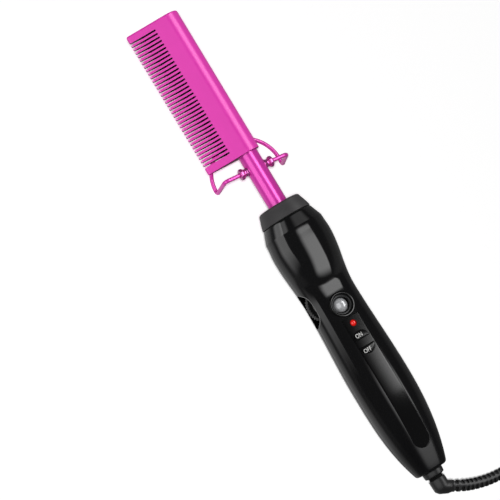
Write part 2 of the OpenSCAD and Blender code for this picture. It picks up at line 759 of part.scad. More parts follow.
// A button: its cap, the flange that keeps it in, and the stem that meets its switch
module button(at, way) {
    middle = at - way * button_r / 2;
    top = front_at(middle, 0) + button_proud;
    flange_top = front_at(middle, button_r + flange_out, wall) - gap;
    stem_bottom = switch_top + press + 0.1;
    button_prism(at, way, button_r, flange_top - 0.2, top - flange_top + 0.2);
    button_prism(at, way, button_r + flange_out, flange_top - flange_h, flange_h, flange_out / 2);
    peg(middle, 0, stem_bottom, flange_top - flange_h - stem_bottom + 0.2, 1.7);
}

switch_top = panel_z + 2.5;

module on_button() {
    color(black) button(on_at, 1);
}

module off_button() {
    color(black) button(off_at, -1);
}

module tact_switches() {
    color("silver") for (u = [on_at - button_r / 2, off_at + button_r / 2]) {
        slab(u - 2.2, u + 2.2, 3, panel_z, 1.9);
        peg(u, 0, panel_z + 1.8, switch_top - panel_z - 1.8, 1.6);
    }
}

module button_board() {
    color("darkgreen") difference() {
        slab(panel_from, panel_to, panel_half, panel_z - board_thick, board_thick);
        for (s = panel_spots)
            peg(s[0], s[1], panel_z - board_thick - 1, board_thick + 2, 1.1);
    }
}

module board_screws() {
    color("silver") {
        for (s = panel_spots) {
            peg(s[0], s[1], panel_z - board_thick - 1.2, 1.2, 1.7);
            peg(s[0], s[1], panel_z - board_thick, board_thick + 3, 0.8);
        }
        for (s = board_spots) {
            peg(s[0], s[1], board_z, 1.2, 1.7);
            peg(s[0], s[1], board_z - board_thick - 2.4, board_thick + 2.4, 0.8);
        }
    }
}

module main_board() {
    color("darkgreen") difference() {
        slab(board_from, board_to, board_half, board_z - board_thick, board_thick);
        for (s = board_spots)
            peg(s[0], s[1], board_z - board_thick - 1, board_thick + 2, 1.1);
    }
}

module film_capacitor() {
    color("goldenrod") slab(board_to - 27, board_to - 12, 5, board_z, 11, 3);
}

module smoothing_capacitor() {
    color("navy") peg(board_to - 4.5, 1, board_z, 11, 3.2);
}

module triac() {
    start = board_from + 33;
    color("dimgray") {
        slab(start, start + 10, 2.3, board_z, 6.5, -7.6);
        slab(start, start + 10, 0.6, board_z + 6, 1, -9.3);
    }
}

module controller_chip() {
    color([0.1, 0.1, 0.12]) slab(board_from + 45, board_from + 54, 3, board_z, 1.6, -5);
}

module mains_fuse() {
    side = -6.6;
    cap = 5;
    start = board_to - 25;
    end = board_to - 5;
    color("lightgray") {
        translate([0, side, board_z + 3]) {
            rod(-end, end - start, 2.3);
            for (u = [start + cap, end])
                rod(-u, cap, 2.6);
        }
        for (u = [start, end - cap])
            slab(u, u + cap, 1.5, board_z, 1, side);
    }
}

module terminal_block() {
    color("ivory") slab(block_at, block_at + block_len, 8, -5, 10);
}

module board_leads() {
    out = -block_at - block_len;
    color("white") for (y = [-4.2, -1.4, 1.4, 4.2])
        wire([[out, y, -1], [out - 3, y, -1], [out - 8, y, -5], [-board_from + 1, y, board_z + 1.4],
            [-board_from - 2, y, board_z + lead_r]], lead_r, 6);
}

module contact_block() {
    color("ivory") slab(ring_at - 12, ring_at - 2.5, 7, swivel_z - 5, 10);
}

module contact_springs() {
    reach = contact_r + 0.1;
    start = ring_at - 2.5;
    color(brass) {
        slab(start, ring_at + 2, 0.25, swivel_z - 2, 4, reach + 0.25);
        slab(start, ring_at + 7, 0.25, swivel_z - 2, 4, -reach - 1.25);
        slab(ring_at + 5, ring_at + 7, 0.55, swivel_z - 2, 4, -reach - 0.55);
    }
}

module mains_leads() {
    out = -(ring_at - 12);
    color("saddlebrown") for (y = [-5.4, 5.4])
        wire([[out, y, -8], [out + 1, y, -8], [out + 3.4, y, board_z + lead_r + 0.1],
            [out + 4.6, y, board_z + lead_r + 0.1]], lead_r, 6);
}

// The socket that the swivel turns in: its ring shows behind the handle's tail
module swivel_socket() {
    color(black) translate([0, 0, swivel_z]) difference() {
        union() {
            rod(-handle_end - 0.5, handle_end + 0.5 - barrel_in, barrel_r);
            rod(-seat_at + 0.1, 1.6, seat_r);
            rod(-socket_end, socket_len / 2, ring_end_r, ring_r);
            rod(-socket_end + socket_len / 2, socket_len / 2 - 0.1, ring_r);
        }
        rod(-socket_end - 1, socket_end, spindle_r + run_gap);
    }
}

module contact_rings() {
    color(brass) translate([0, 0, swivel_z]) for (u = [ring_at, ring_at + contact_step])
        difference() {
            rod(-u - 2.2, 2.2, contact_r);
            rod(-u - 3, 4, 3);
        }
}

module cord_elbow() {
    spindle_end = barrel_in - 0.4;
    color(black) translate([0, 0, swivel_z]) {
        rod(-elbow_at - 0.5, elbow_at + 0.5 - spindle_end, spindle_r);
        rod(-spindle_end, 1.6, seat_r - 0.9);
        rod(-spindle_end, spindle_end - ring_at + 0.6, 3 - run_gap);
    }
    color(black) hull() {
        translate([0, 0, swivel_z]) {
            rod(-elbow_at - 5.6, 5.6, elbow_r, $fn = 32);
            rod(-elbow_at - elbow_len, elbow_len, elbow_r - 1.4, $fn = 32);
        }
        loft([for (t = [0, boot_from]) ring_points(curve(strain_route, t), heading(strain_route, t),
            boot_r, 12)]);
    }
}

// A tapered, ribbed sleeve around the cord
module strain_relief() {
    last = len(strain_route) - 1;
    groove = 0.75;
    taper = boot_r - cord_r - 0.35;
    // Each rib starts at full height, drops into its groove and rises again at the next one
    outer = [for (i = [0 : boot_ribs - 1]) for (k = [0 : 3])
        let (t = (i + [0, 0.5, 0.56, 0.94][k]) / boot_ribs)
            [boot_from + (last - boot_from) * t, boot_r - taper * t - (k < 2 ? 0 : groove)]];
    color([0.13, 0.13, 0.13]) tube(strain_route, concat(outer, [[last, cord_r + 0.2]]), 12);
}

module power_cord() {
    color(black) {
        wire(lead_route, cord_r, 12);
        wire(plug_route, cord_r, 12);
    }
}

module cord_coil() {
    color(black) translate([coil_x, coil_y, floor_z + coil_lift]) rotate_extrude()
        translate([coil_mid_r - coil_half, 0]) square([2 * coil_half, 2 * coil_half]);
}

module cord_tie() {
    out = coil_half + coil_lift;
    color("dimgray") translate([coil_x, coil_y, floor_z + out]) rotate([0, 0, -48])
        rotate_extrude(angle = 14) translate([coil_mid_r, 0]) difference() {
            square(2 * out, center = true);
            square(2 * coil_half + 0.1, center = true);
        }
}

module plug_body() {
    color(black) translate([plug_x, plug_y, plug_z]) rotate([-90, 0, 0]) {
        cylinder(h = plug_neck + 1, r1 = cord_r + 0.6, r2 = cord_r + 2);
        translate([0, 0, plug_neck]) hull() {
            cylinder(h = 2, r = cord_r + 2.2, $fn = 32);
            translate([-plug_w / 2, -plug_h / 2, plug_len - 12]) cube([plug_w, plug_h, 12]);
        }
    }
}

module plug_pins() {
    start = plug_y + plug_neck + plug_len;
    color("silver") for (side = [-0.5, 0.5])
        translate([plug_x + side * pin_gap, start, plug_z]) rotate([-90, 0, 0])
            cylinder(h = pin_len, r = pin_r);
}

// The whole model stands with its origin under the middle of the comb, cord left out
module placed() {
    translate([-mid_x, -mid_y, axis_h]) children();
}

placed() comb_head();
placed() tip_plug();
placed() heater_cartridge();
placed() thermistor();
placed() thermal_fuse();
placed() heater_leads();
placed() stem_tube();
placed() stem_anchor();
placed() collar();
placed() stand_bushes();
placed() stand_wire();
placed() front_shell();
placed() rear_shell();
placed() shell_screws();
placed() control_strip();
placed() window_bezel();
placed() window_dome();
placed() temperature_wheel();
placed() number_disc();
placed() potentiometer();
placed() status_lamp();
placed() on_button();
placed() off_button();
placed() tact_switches();
placed() button_board();
placed() board_screws();
placed() main_board();
placed() film_capacitor();
placed() smoothing_capacitor();
placed() triac();
placed() controller_chip();
placed() mains_fuse();
placed() terminal_block();
placed() board_leads();
placed() contact_block();
placed() contact_springs();
placed() mains_leads();
placed() swivel_socket();
placed() contact_rings();
placed() cord_elbow();
placed() strain_relief();
placed() power_cord();
placed() cord_coil();
placed() cord_tie();
placed() plug_body();
placed() plug_pins();
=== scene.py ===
"""Electric hot comb on its wire stand: camera, cord, dressed pieces, materials, floor and light."""

import json
import math

import bmesh
import bpy
import numpy as np
from mathutils import Matrix, Vector
from mathutils.bvhtree import BVHTree
from mathutils.interpolate import poly_3d_calc


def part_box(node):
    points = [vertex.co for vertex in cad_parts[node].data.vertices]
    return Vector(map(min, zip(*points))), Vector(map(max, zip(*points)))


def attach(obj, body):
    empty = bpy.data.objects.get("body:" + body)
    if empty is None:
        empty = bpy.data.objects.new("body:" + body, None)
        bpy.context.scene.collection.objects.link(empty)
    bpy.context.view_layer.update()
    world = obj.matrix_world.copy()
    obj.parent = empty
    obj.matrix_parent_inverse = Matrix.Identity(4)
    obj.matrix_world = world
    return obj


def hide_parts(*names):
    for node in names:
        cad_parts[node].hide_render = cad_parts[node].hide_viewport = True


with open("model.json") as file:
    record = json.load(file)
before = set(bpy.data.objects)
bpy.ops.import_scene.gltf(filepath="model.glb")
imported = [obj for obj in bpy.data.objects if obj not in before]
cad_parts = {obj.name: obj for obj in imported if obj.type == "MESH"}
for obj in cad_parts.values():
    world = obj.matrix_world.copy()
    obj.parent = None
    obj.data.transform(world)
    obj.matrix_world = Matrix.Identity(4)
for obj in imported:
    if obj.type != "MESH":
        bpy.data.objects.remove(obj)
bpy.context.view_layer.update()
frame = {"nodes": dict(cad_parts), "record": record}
NODES = frame["nodes"]
MM = 0.001

# ---------------------------------------------------------------- places, in millimetres
# X runs along the stem: 0 is the collar's top face, and handle stations u lie at X = -u.
# Y is the tooth side, Z the button side, and Z = 0 is the stem's axis.
HEAD_END, TOOTH_REACH, AXIS_H = 127.5, 27.0, 21.2
_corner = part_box("comb_head")[1]
OFFSET = np.array([_corner[0] - HEAD_END * MM, _corner[1] - TOOTH_REACH * MM, AXIS_H * MM])


def row(p):
    """Points in stem millimetres to the row frame in metres."""
    return np.asarray(p, float) * MM + OFFSET


# ---------------------------------------------------------------- camera
TILT, LEAN, ROLL, DISTANCE = 17.25, 3.7, 121.03, 1.4393
AIM = row([-15.35, 28.8, 0])


def add_camera():
    """A long lens above the handle, turned as the photo's picture is."""
    back = np.array([-math.sin(math.radians(LEAN)), math.sin(math.radians(TILT)), 0])
    back[2] = math.sqrt(1 - back @ back)
    along = np.array([1.0, 0, 0]) - back[0] * back
    along /= np.linalg.norm(along)
    across = np.cross(back, along)
    turn = math.radians(ROLL)
    right = math.cos(turn) * along - math.sin(turn) * across
    up = math.sin(turn) * along + math.cos(turn) * across
    data = bpy.data.cameras.new("camera")
    data.lens, data.sensor_width = 180, 36
    data.clip_start, data.clip_end = 0.1, 10
    cam = bpy.data.objects.new("camera", data)
    place = Matrix.Identity(4)
    for i, column in enumerate((right, up, back, AIM + back * DISTANCE)):
        for j in range(3):
            place[j][i] = column[j]
    cam.matrix_world = place
    bpy.context.scene.collection.objects.link(cam)
    bpy.context.scene.camera = cam


add_camera()


# ---------------------------------------------------------------- mesh helpers
def add_mesh(name, points, faces, smooth=True, angle=None):
    """A mesh object from points in stem millimetres."""
    mesh = bpy.data.meshes.new(name)
    mesh.from_pydata([tuple(p) for p in row(points)], [], [tuple(f) for f in faces])
    mesh.validate()
    work = bmesh.new()
    work.from_mesh(mesh)
    bmesh.ops.recalc_face_normals(work, faces=work.faces)
    work.to_mesh(mesh)
    work.free()
    obj = bpy.data.objects.new(name, mesh)
    bpy.context.scene.collection.objects.link(obj)
    if smooth:
        mesh.shade_smooth()
        if angle:
            mesh.set_sharp_from_angle(angle=math.radians(angle))
    return obj


def loft(rings, caps=True, closed=True):
    """(points, faces) of a skin through rings of equal length."""
    n, count = len(rings[0]), len(rings)
    points = [p for r in rings for p in r]
    turns = n if closed else n - 1
    faces = [(i * n + k, i * n + (k + 1) % n, (i + 1) * n + (k + 1) % n, (i + 1) * n + k)
             for i in range(count - 1) for k in range(turns)]
    if caps:
        faces += [tuple(range(n))[::-1], tuple(range((count - 1) * n, count * n))]
    return points, faces


def lathe(profile, steps=72, axis="z", place=(0, 0, 0)):
    """(points, faces) of a profile of (radius, height) turned about an axis. Radius 0 closes it."""
    points, faces, rows = [], [], []
    for r, h in profile:
        if r < 1e-6:
            rows.append([len(points)] * steps)
            points.append((0, 0, h))
        else:
            rows.append(list(range(len(points), len(points) + steps)))
            points += [(r * math.cos(2 * math.pi * k / steps), r * math.sin(2 * math.pi * k / steps), h)
                       for k in range(steps)]
    for a, b in zip(rows, rows[1:]):
        for k in range(steps):
            loop = []
            for v in (a[k], a[(k + 1) % steps], b[(k + 1) % steps], b[k]):
                if v not in loop:
                    loop.append(v)
            if len(loop) > 2:
                faces.append(loop)
    points = np.array(points, float)
    if axis == "x":
        points = points[:, [2, 0, 1]]
    return points + np.array(place, float), faces


def curve_at(route, t):
    """A point on the smooth curve through a route's points."""
    p = np.asarray(route, float)
    i = min(int(t), len(p) - 2)
    f = t - i
    a, b, c, d = p[max(i - 1, 0)], p[i], p[i + 1], p[min(i + 2, len(p) - 1)]
    return (b + (c - a) * f / 2 + (2 * a - 5 * b + 4 * c - d) * f * f / 2
            + (3 * b - a - 3 * c + d) * f ** 3 / 2)


def heading(route, t):
    """The direction of the curve through a route's points."""
    last = len(route) - 1
    d = curve_at(route, min(t + 0.01, last)) - curve_at(route, max(t - 0.01, 0))
    return d / np.linalg.norm(d)


def ring(place, d, radii):
    """A ring round a heading d: radii is one number or one for each point. Point 1/4 is up."""
    side = np.cross(d, [0, 0, 1])
    side /= np.linalg.norm(side)
    up = np.cross(side, d)
    n = len(radii)
    return [place + r * (math.cos(2 * math.pi * k / n) * side + math.sin(2 * math.pi * k / n) * up)
            for k, r in enumerate(radii)]


def line_tube(line, radius, sides):
    """(points, faces) of a round tube along a dense line of points."""
    line = np.asarray(line, float)
    heads = np.gradient(line, axis=0)
    return loft([ring(p, h / np.linalg.norm(h), [radius] * sides) for p, h in zip(line, heads)])


# ---------------------------------------------------------------- cord
CORD_R, FLOOR_Z = 2.75, -21.2
COIL = np.array([-237.5, -66.0])
COIL_MID_R, COIL_LIFT = 29.5, 0.8
STRAIN_ROUTE = [(-191.4, -5, -10.6), (-195, -12, -11.6), (-197.4, -18, -12.9), (-199.4, -25, -14.5),
                (-200.7, -32, -16.1), (-201.3, -39, -17.3), (-201.4, -45, -17.9), (-201.3, -50, -18)]
LEAD_ROUTE = [(-201.3, -50, -18), (-201.9, -55, -18.1), (-202.4, -60, -18), (-202.5, -64, -17.8)]
PLUG_ROUTE = [(-272.5, -58, -6.65), (-272.5, -53, -7.25), (-272.5, -47.5, -9.15), (-272.5, -42, -12.05),
              (-272.5, -37, -14), (-272.5, -34, -14.35)]


def smooth_step(t):
    """0 to 1 with level ends, as a share of the way."""
    t = np.clip(t, 0, 1)
    return t * t * t * (t * (6 * t - 15) + 10)


def coil_line(steps=30):
    """The stored length: nine turns in a bundle of three by three, from outside below to outside
    above. Each shift from one place to the next starts after the place ahead is free."""
    places = [(2, 0), (1, 0), (0, 0), (0, 1), (0, 2), (1, 2), (1, 1), (2, 1), (2, 2)]
    order = [5, 5, 4, 4, 3, 2, 1, 0]
    first, apart, width = 225, 22, 80
    theta = np.arange(0, 8 * 360 + 180 + 1e-6, 360 / steps)
    across = np.full(len(theta), 2.0)
    level = np.zeros(len(theta))
    for k, rank in enumerate(order):
        share = smooth_step((theta - 360 * k - first - apart * rank + width / 2) / width)
        across += share * (places[k + 1][0] - places[k][0])
        level += share * (places[k + 1][1] - places[k][1])
    radius = COIL_MID_R + (across - 1) * 2 * CORD_R
    a = np.radians(theta)
    return np.c_[COIL[0] + radius * np.cos(a), COIL[1] - radius * np.sin(a),
                 FLOOR_Z + COIL_LIFT + CORD_R + level * 2 * CORD_R]


def along(route, step):
    """Points on the smooth curve through a route's points, from end to end."""
    return [curve_at(route, t) for t in np.arange(0, len(route) - 1 + 1e-6, step)]


cord_line = np.array(along(STRAIN_ROUTE, 0.5) + along(LEAD_ROUTE, 0.5)[1:] + list(coil_line())
                     + along(PLUG_ROUTE, 0.5))
power_cord = add_mesh("power_cord_run", *line_tube(cord_line, CORD_R, 16))
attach(power_cord, "swivel")
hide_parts("power_cord", "cord_coil")


def boot():
    """The strain relief's form and the faces in its notches.

    It has round ribs, with a spine left standing above and below."""
    last, ribs, sides, start = len(STRAIN_ROUTE) - 1, 16, 40, 0.1
    top, taper, groove, end_lip = 3.5, 0.25, 0.85, 0.2
    up = [abs(math.sin(2 * math.pi * k / sides)) for k in range(sides)]
    spine = [float(smooth_step((v - 0.9) / 0.08)) for v in up]
    rings, depths = [], []
    marks = [0.0, 0.04, 0.42, 0.46, 0.5, 0.95]
    deep = [0.12, 0, 0, 0.12, 1, 1]
    for i in range(ribs):
        for mark, depth in zip(marks, deep):
            t = (i + mark) / ribs
            full = top - taper * t
            where = start + (last - start) * t
            depths.append(depth)
            rings.append(ring(curve_at(STRAIN_ROUTE, where), heading(STRAIN_ROUTE, where),
                              [full - groove * depth * (1 - s) for s in spine]))
    for shrink in (0.0, 0.15):
        depths.append(0)
        rings.append(ring(curve_at(STRAIN_ROUTE, last), heading(STRAIN_ROUTE, last),
                          [CORD_R + end_lip - shrink] * sides))
    notch = [i * sides + k for i in range(len(rings) - 1) for k in range(sides)
             if depths[i] + depths[i + 1] > 1 and spine[k] + spine[(k + 1) % sides] < 1]
    return loft(rings), notch


boot_form, notches = boot()
strain_relief = add_mesh("strain_relief_boot", *boot_form, angle=50)
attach(strain_relief, "swivel")
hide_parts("strain_relief")


# ---------------------------------------------------------------- materials
def material(name, base, rough=0.4, metal=0.0, vary=0.0, vary_scale=200, bump=0.0, bump_scale=900,
             rough_vary=0.05, rough_scale=120, **extra):
    """A surface whose colour and roughness drift a little and whose skin has a fine grain."""
    mat = bpy.data.materials.new(name)
    mat.use_nodes = True
    tree = mat.node_tree
    shader = tree.nodes["Principled BSDF"]
    shader.inputs["Metallic"].default_value = metal
    for key, value in extra.items():
        shader.inputs[key.replace("_", " ")].default_value = value
    coords = tree.nodes.new("ShaderNodeTexCoord")

    def noise(scale, detail=4):
        node = tree.nodes.new("ShaderNodeTexNoise")
        node.inputs["Scale"].default_value = scale
        node.inputs["Detail"].default_value = detail
        tree.links.new(coords.outputs["Object"], node.inputs["Vector"])
        return node.outputs["Fac"]

    mix = tree.nodes.new("ShaderNodeMix")
    mix.data_type = "RGBA"
    mix.inputs[6].default_value = (*[c * (1 - vary) for c in base], 1)
    mix.inputs[7].default_value = (*[min(1, c * (1 + vary)) for c in base], 1)
    tree.links.new(noise(vary_scale), mix.inputs[0])
    tree.links.new(mix.outputs[2], shader.inputs["Base Color"])
    spread = tree.nodes.new("ShaderNodeMapRange")
    spread.inputs["To Min"].default_value = max(0.02, rough - rough_vary)
    spread.inputs["To Max"].default_value = rough + rough_vary
    tree.links.new(noise(rough_scale), spread.inputs["Value"])
    tree.links.new(spread.outputs["Result"], shader.inputs["Roughness"])
    if bump:
        node = tree.nodes.new("ShaderNodeBump")
        node.inputs["Strength"].default_value = bump
        node.inputs["Distance"].default_value = 0.0001
        tree.links.new(noise(bump_scale, 6), node.inputs["Height"])
        tree.links.new(node.outputs["Normal"], shader.inputs["Normal"])
    return mat


def fade_along_x(mat, input_name, x_from, x_to, value_from, value_to):
    """Let one value of a material drift along the object, between two places on x."""
    tree = mat.node_tree
    coords, parts = tree.nodes.new("ShaderNodeTexCoord"), tree.nodes.new("ShaderNodeSeparateXYZ")
    drift = tree.nodes.new("ShaderNodeMapRange")
    drift.interpolation_type = "SMOOTHSTEP"
    for key, value in (("From Min", row([x_from, 0, 0])[0]), ("From Max", row([x_to, 0, 0])[0]),
                       ("To Min", value_from), ("To Max", value_to)):
        drift.inputs[key].default_value = float(value)
    tree.links.new(coords.outputs["Object"], parts.inputs[0])
    tree.links.new(parts.outputs["X"], drift.inputs["Value"])
    tree.links.new(drift.outputs["Result"], tree.nodes["Principled BSDF"].inputs[input_name])


MATS = {
    "pink_aluminium": material("pink_lacquer", (0.80, 0.042, 0.46), 0.3, 0.1, 0.04, 60, 0.12, 2600,
                               Coat_Weight=0.25, Coat_Roughness=0.2),
    # Painted shade: a near-black pink for the slot walls between the teeth, which stand in shade.
    "slot_painted_shade": material("slot_painted_shade", (0.03, 0.001, 0.016), 0.6, 0.0, 0.1, 200, 0.1,
                           Specular_IOR_Level=0.1),
    # Painted highlight: a lighter pink for the chamfers along the teeth, where light catches their edges.
    "tooth_edge_painted_highlight": material("tooth_edge_painted_highlight", (0.92, 0.22, 0.66), 0.3, 0.0, 0.04, 60, 0.1, 2600),
    # Painted shade: a dark pink for the head's lower end face, which is in shadow.
    "end_face_painted_shade": material("end_face_painted_shade", (0.12, 0.006, 0.06), 0.5, 0.0, 0.1, 60, 0.1, 2600),
    "pink_steel": material("pink_tube_lacquer", (0.80, 0.045, 0.48), 0.22, 0.25, 0.04, 60, 0.06, 2600,
                           Coat_Weight=0.5, Coat_Roughness=0.12),
    "spool_steel": material("spool_lacquer", (0.75, 0.12, 0.5), 0.1, 0.75, 0.04, 60, 0.04, 2600,
                            Coat_Weight=1.0, Coat_Roughness=0.05),
    "bright_steel": material("bright_steel", (0.6, 0.6, 0.62), 0.3, 1.0, 0.05, 150, 0.1),
    "ceramic": material("white_ceramic", (0.8, 0.79, 0.74), 0.25, 0, 0.03, 80),
    "lead_sleeve": material("woven_sleeve", (0.75, 0.74, 0.7), 0.7, 0, 0.1, 1500, 0.6, 2500),
    "phenolic": material("phenolic_brown", (0.12, 0.045, 0.02), 0.45, 0, 0.1, 300, 0.1),
    "grey_plastic": material("collar_grey", (0.047, 0.045, 0.047), 0.5, 0, 0.05, 300, 0.25, 1800),
    "gloss_black": material("gloss_black", (0.006, 0.006, 0.0066), 0.09, 0, 0.1, 90, 0.0, 900, 0.02, 60,
                            Coat_Weight=0.5, Coat_Roughness=0.04),
    # Painted highlight: a lighter grey for the scoop's lip, where it catches light.
    "lip_painted_highlight": material("lip_painted_highlight", (0.2, 0.2, 0.2), 0.3, 0, 0.1, 90, 0.1, 900),
    "dark_steel": material("blackened_steel", (0.08, 0.08, 0.085), 0.35, 1.0, 0.1, 200, 0.1),
    "strip_black": material("strip_black", (0.012, 0.012, 0.013), 0.12, 0, 0.1, 90, 0.0, 900, 0.02, 60,
                            Coat_Weight=0.6, Coat_Roughness=0.05),
    "clear_dome": material("silver_dome", (0.62, 0.63, 0.65), 0.14, 0.2, 0.05, 120, 0.0, 900, 0.03, 60,
                           Coat_Weight=1.0, Coat_Roughness=0.03),
    "wheel_black": material("wheel_black", (0.018, 0.018, 0.018), 0.42, 0, 0.1, 200, 0.2, 1500),
    "disc_white": material("disc_white", (0.8, 0.8, 0.78), 0.4, 0, 0.02, 200, 0.05),
    "blue_plastic": material("blue_plastic", (0.03, 0.09, 0.28), 0.3, 0, 0.08, 200, 0.05),
    "lamp_red": material("lamp_red", (0.7, 0.008, 0.008), 0.12, 0, 0.05, 200, 0.0, 900, 0.03, 60,
                         Coat_Weight=1.0, Coat_Roughness=0.03, Emission_Color=(1, 0.02, 0.01, 1),
                         Emission_Strength=0.35),
    "button_black": material("button_black", (0.012, 0.012, 0.013), 0.16, 0, 0.1, 90, 0.0, 900, 0.03, 60,
                             Coat_Weight=0.5, Coat_Roughness=0.06),
    "board_green": material("board_green", (0.012, 0.09, 0.03), 0.4, 0, 0.15, 400, 0.1, 1200),
    "yellow_plastic": material("yellow_plastic", (0.6, 0.33, 0.02), 0.3, 0, 0.06, 200, 0.05),
    "chip_black": material("chip_black", (0.012, 0.012, 0.014), 0.55, 0, 0.1, 300, 0.2),
    "ivory_plastic": material("ivory_plastic", (0.66, 0.62, 0.46), 0.45, 0, 0.05, 200, 0.1),
    "contact_brass": material("contact_brass", (0.62, 0.38, 0.09), 0.3, 1.0, 0.06, 200, 0.1),
    "grey_black_plastic": material("fitting_black", (0.016, 0.016, 0.0165), 0.38, 0, 0.08, 250, 0.15, 1600),
    "boot_rubber": material("boot_rubber", (0.032, 0.032, 0.033), 0.36, 0, 0.1, 300, 0.25, 1400),
    # Painted shade: near-black for the floors of the boot's grooves and the gap at the elbow's neck, where
    # shade falls.
    "recess_painted_shade": material("recess_painted_shade", (0.003, 0.003, 0.003), 0.7, 0, 0.1, 300, 0.2, 1400,
                            Specular_IOR_Level=0.1),
    "cord_rubber": material("cord_rubber", (0.011, 0.011, 0.0115), 0.45, 0, 0.1, 300, 0.25, 1400),
    "tie_plastic": material("tie_plastic", (0.02, 0.02, 0.021), 0.55, 0, 0.1, 300, 0.4, 1100),
    "plug_rubber": material("plug_rubber", (0.012, 0.012, 0.0125), 0.42, 0, 0.1, 250, 0.25, 1400),
    "pin_nickel": material("pin_nickel", (0.55, 0.54, 0.52), 0.18, 1.0, 0.04, 200, 0.05),
    "word_white": material("word_white", (0.82, 0.82, 0.8), 0.4, 0, 0.02, 300),
}


def paint(obj, slot):
    """Give the whole object one material."""
    obj.data.materials.clear()
    obj.data.materials.append(MATS[slot])


# The handle's gloss is duller towards its tail
DULL_AT = -168
fade_along_x(MATS["gloss_black"], "Specular IOR Level", DULL_AT, -138, 0.22, 0.5)
fade_along_x(MATS["gloss_black"], "Coat Weight", DULL_AT, -138, 0.1, 0.5)
fade_along_x(MATS["gloss_black"], "Roughness", DULL_AT, -140, 0.24, 0.09)
paint(power_cord, "cord_rubber")
paint(strain_relief, "boot_rubber")
# The faces deep in the boot's grooves take painted shade.
strain_relief.data.materials.append(MATS["recess_painted_shade"])
for i in notches:
    strain_relief.data.polygons[i].material_index = 1
for part in frame["record"]["subparts"]:
    node = NODES[part["node"]]
    paint(node, part["material_slot"])
    node.data.shade_smooth()
    node.data.set_sharp_from_angle(angle=math.radians(30))


def piece(name, form, slot, body, stands_for=(), angle=None):
    """A painted piece that rides on a body and stands for the CAD nodes named."""
    obj = add_mesh(name, *form, angle=angle)
    paint(obj, slot)
    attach(obj, body)
    if stands_for:
        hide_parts(*stands_for)
    return obj


# ---------------------------------------------------------------- handle skin
# Stations u along the handle, and its wall, its tail's round and the cord's hole
MOUTH, CREASE, BULGE, WAIST, SADDLE, GRIP, HANDLE_END = 10.3, 18.0, 28.0, 62.0, 66.0, 118.0, 178.0
SEAT, WALL, TAIL_ROUND, HOLE_R, GAP = 174.0, 2.0, 1.5, 5.9, 0.15
BULGE_HALF = 19.35


def ramp(u, a, b):
    """The share of the way from a to b, held at 0 and 1 outside it."""
    return np.clip((u - a) / (b - a), 0, 1)


def ease(u, a, b):
    """As ramp, with level ends."""
    t = ramp(u, a, b)
    return t * t * (3 - 2 * t)


def power(v, p):
    """A power that keeps the sign."""
    return np.sign(v) * np.abs(v) ** p


def half_w(u):
    """Half the handle's width."""
    return (15.6 + 3.1 * ramp(u, MOUTH, CREASE) + 0.65 * ease(u, CREASE, BULGE)
            - 3.35 * ease(u, BULGE, WAIST) + 1.8 * ease(u, WAIST, GRIP)
            - 8.0 * ramp(u, GRIP, HANDLE_END) ** 2.6)


def front_z(u):
    """Height of the handle's front, without the nose."""
    return (15.6 + 1.4 * ramp(u, MOUTH, CREASE) - 10.4 * ease(u, CREASE, WAIST)
            + 0.4 * ease(u, SADDLE, GRIP) - 8.8 * ramp(u, GRIP, HANDLE_END) ** 3.1)


def back_z(u):
    """Height of the handle's back."""
    return (-15.6 - 2.0 * ramp(u, MOUTH, CREASE) - 0.8 * ease(u, CREASE, BULGE)
            - 2.8 * ease(u, BULGE, GRIP) + 2.4 * ramp(u, GRIP, HANDLE_END) ** 2.5)


def part_z(u):
    """Height of the parting line of the two shells."""
    return -6 * ease(u, CREASE, SADDLE) - ease(u, SADDLE, GRIP) - 3.5 * ease(u, GRIP, 170)


def roundness(u):
    """Exponent of the section: 1 is an ellipse, and less is squarer."""
    return 2 / (2 + 0.4 * ease(u, CREASE, WAIST))


def nose_z(u):
    """Height of the nose's ridge."""
    return 17 - 0.06 * (u - CREASE) - 6.24 * (max(0, u - 20) / 33) ** 3.6


def hump(u, y):
    """The nose: a tongue that runs on from the bulge, narrows and dives into the saddle."""
    if u < CREASE:
        return 0 * y
    over, blur = nose_z(u) - front_z(u), 0.6 * ease(u, 36, 52)
    half = BULGE_HALF * 0.93 * math.sqrt(max(0.02, 1 - (max(0, u - 38) / 17) ** 2))
    side = 1 - (y / half) ** 2
    return (over + math.sqrt(over * over + blur * blur)) / 2 * (side + np.sqrt(side * side + 0.01)) / 2


def front_at(u, y, t=0.0):
    """Height of the front skin at a station and a side, t inside it."""
    w, p, h = half_w(u) - t, 2 / roundness(u), front_z(u) - part_z(u) - t
    return part_z(u) + h * np.maximum(0, 1 - np.abs(y / w) ** p) ** (1 / p) + hump(u, y)


def skin(u, a, t=0.0):
    """A point of the handle's section at angle a in degrees, t inside the skin."""
    past = u - HANDLE_END + TAIL_ROUND
    inset = t + (TAIL_ROUND - math.sqrt(max(0, TAIL_ROUND ** 2 - past ** 2)) if past > 0 else 0)
    c, s = math.cos(math.radians(a)), math.sin(math.radians(a))
    front = a <= 180
    h = (front_z(u) - part_z(u) if front else part_z(u) - back_z(u)) - inset
    y = (half_w(u) - inset) * power(c, roundness(u))
    z = part_z(u) + h * power(s, roundness(u))
    return (-u, y, z + (hump(u, y) if front else 0))


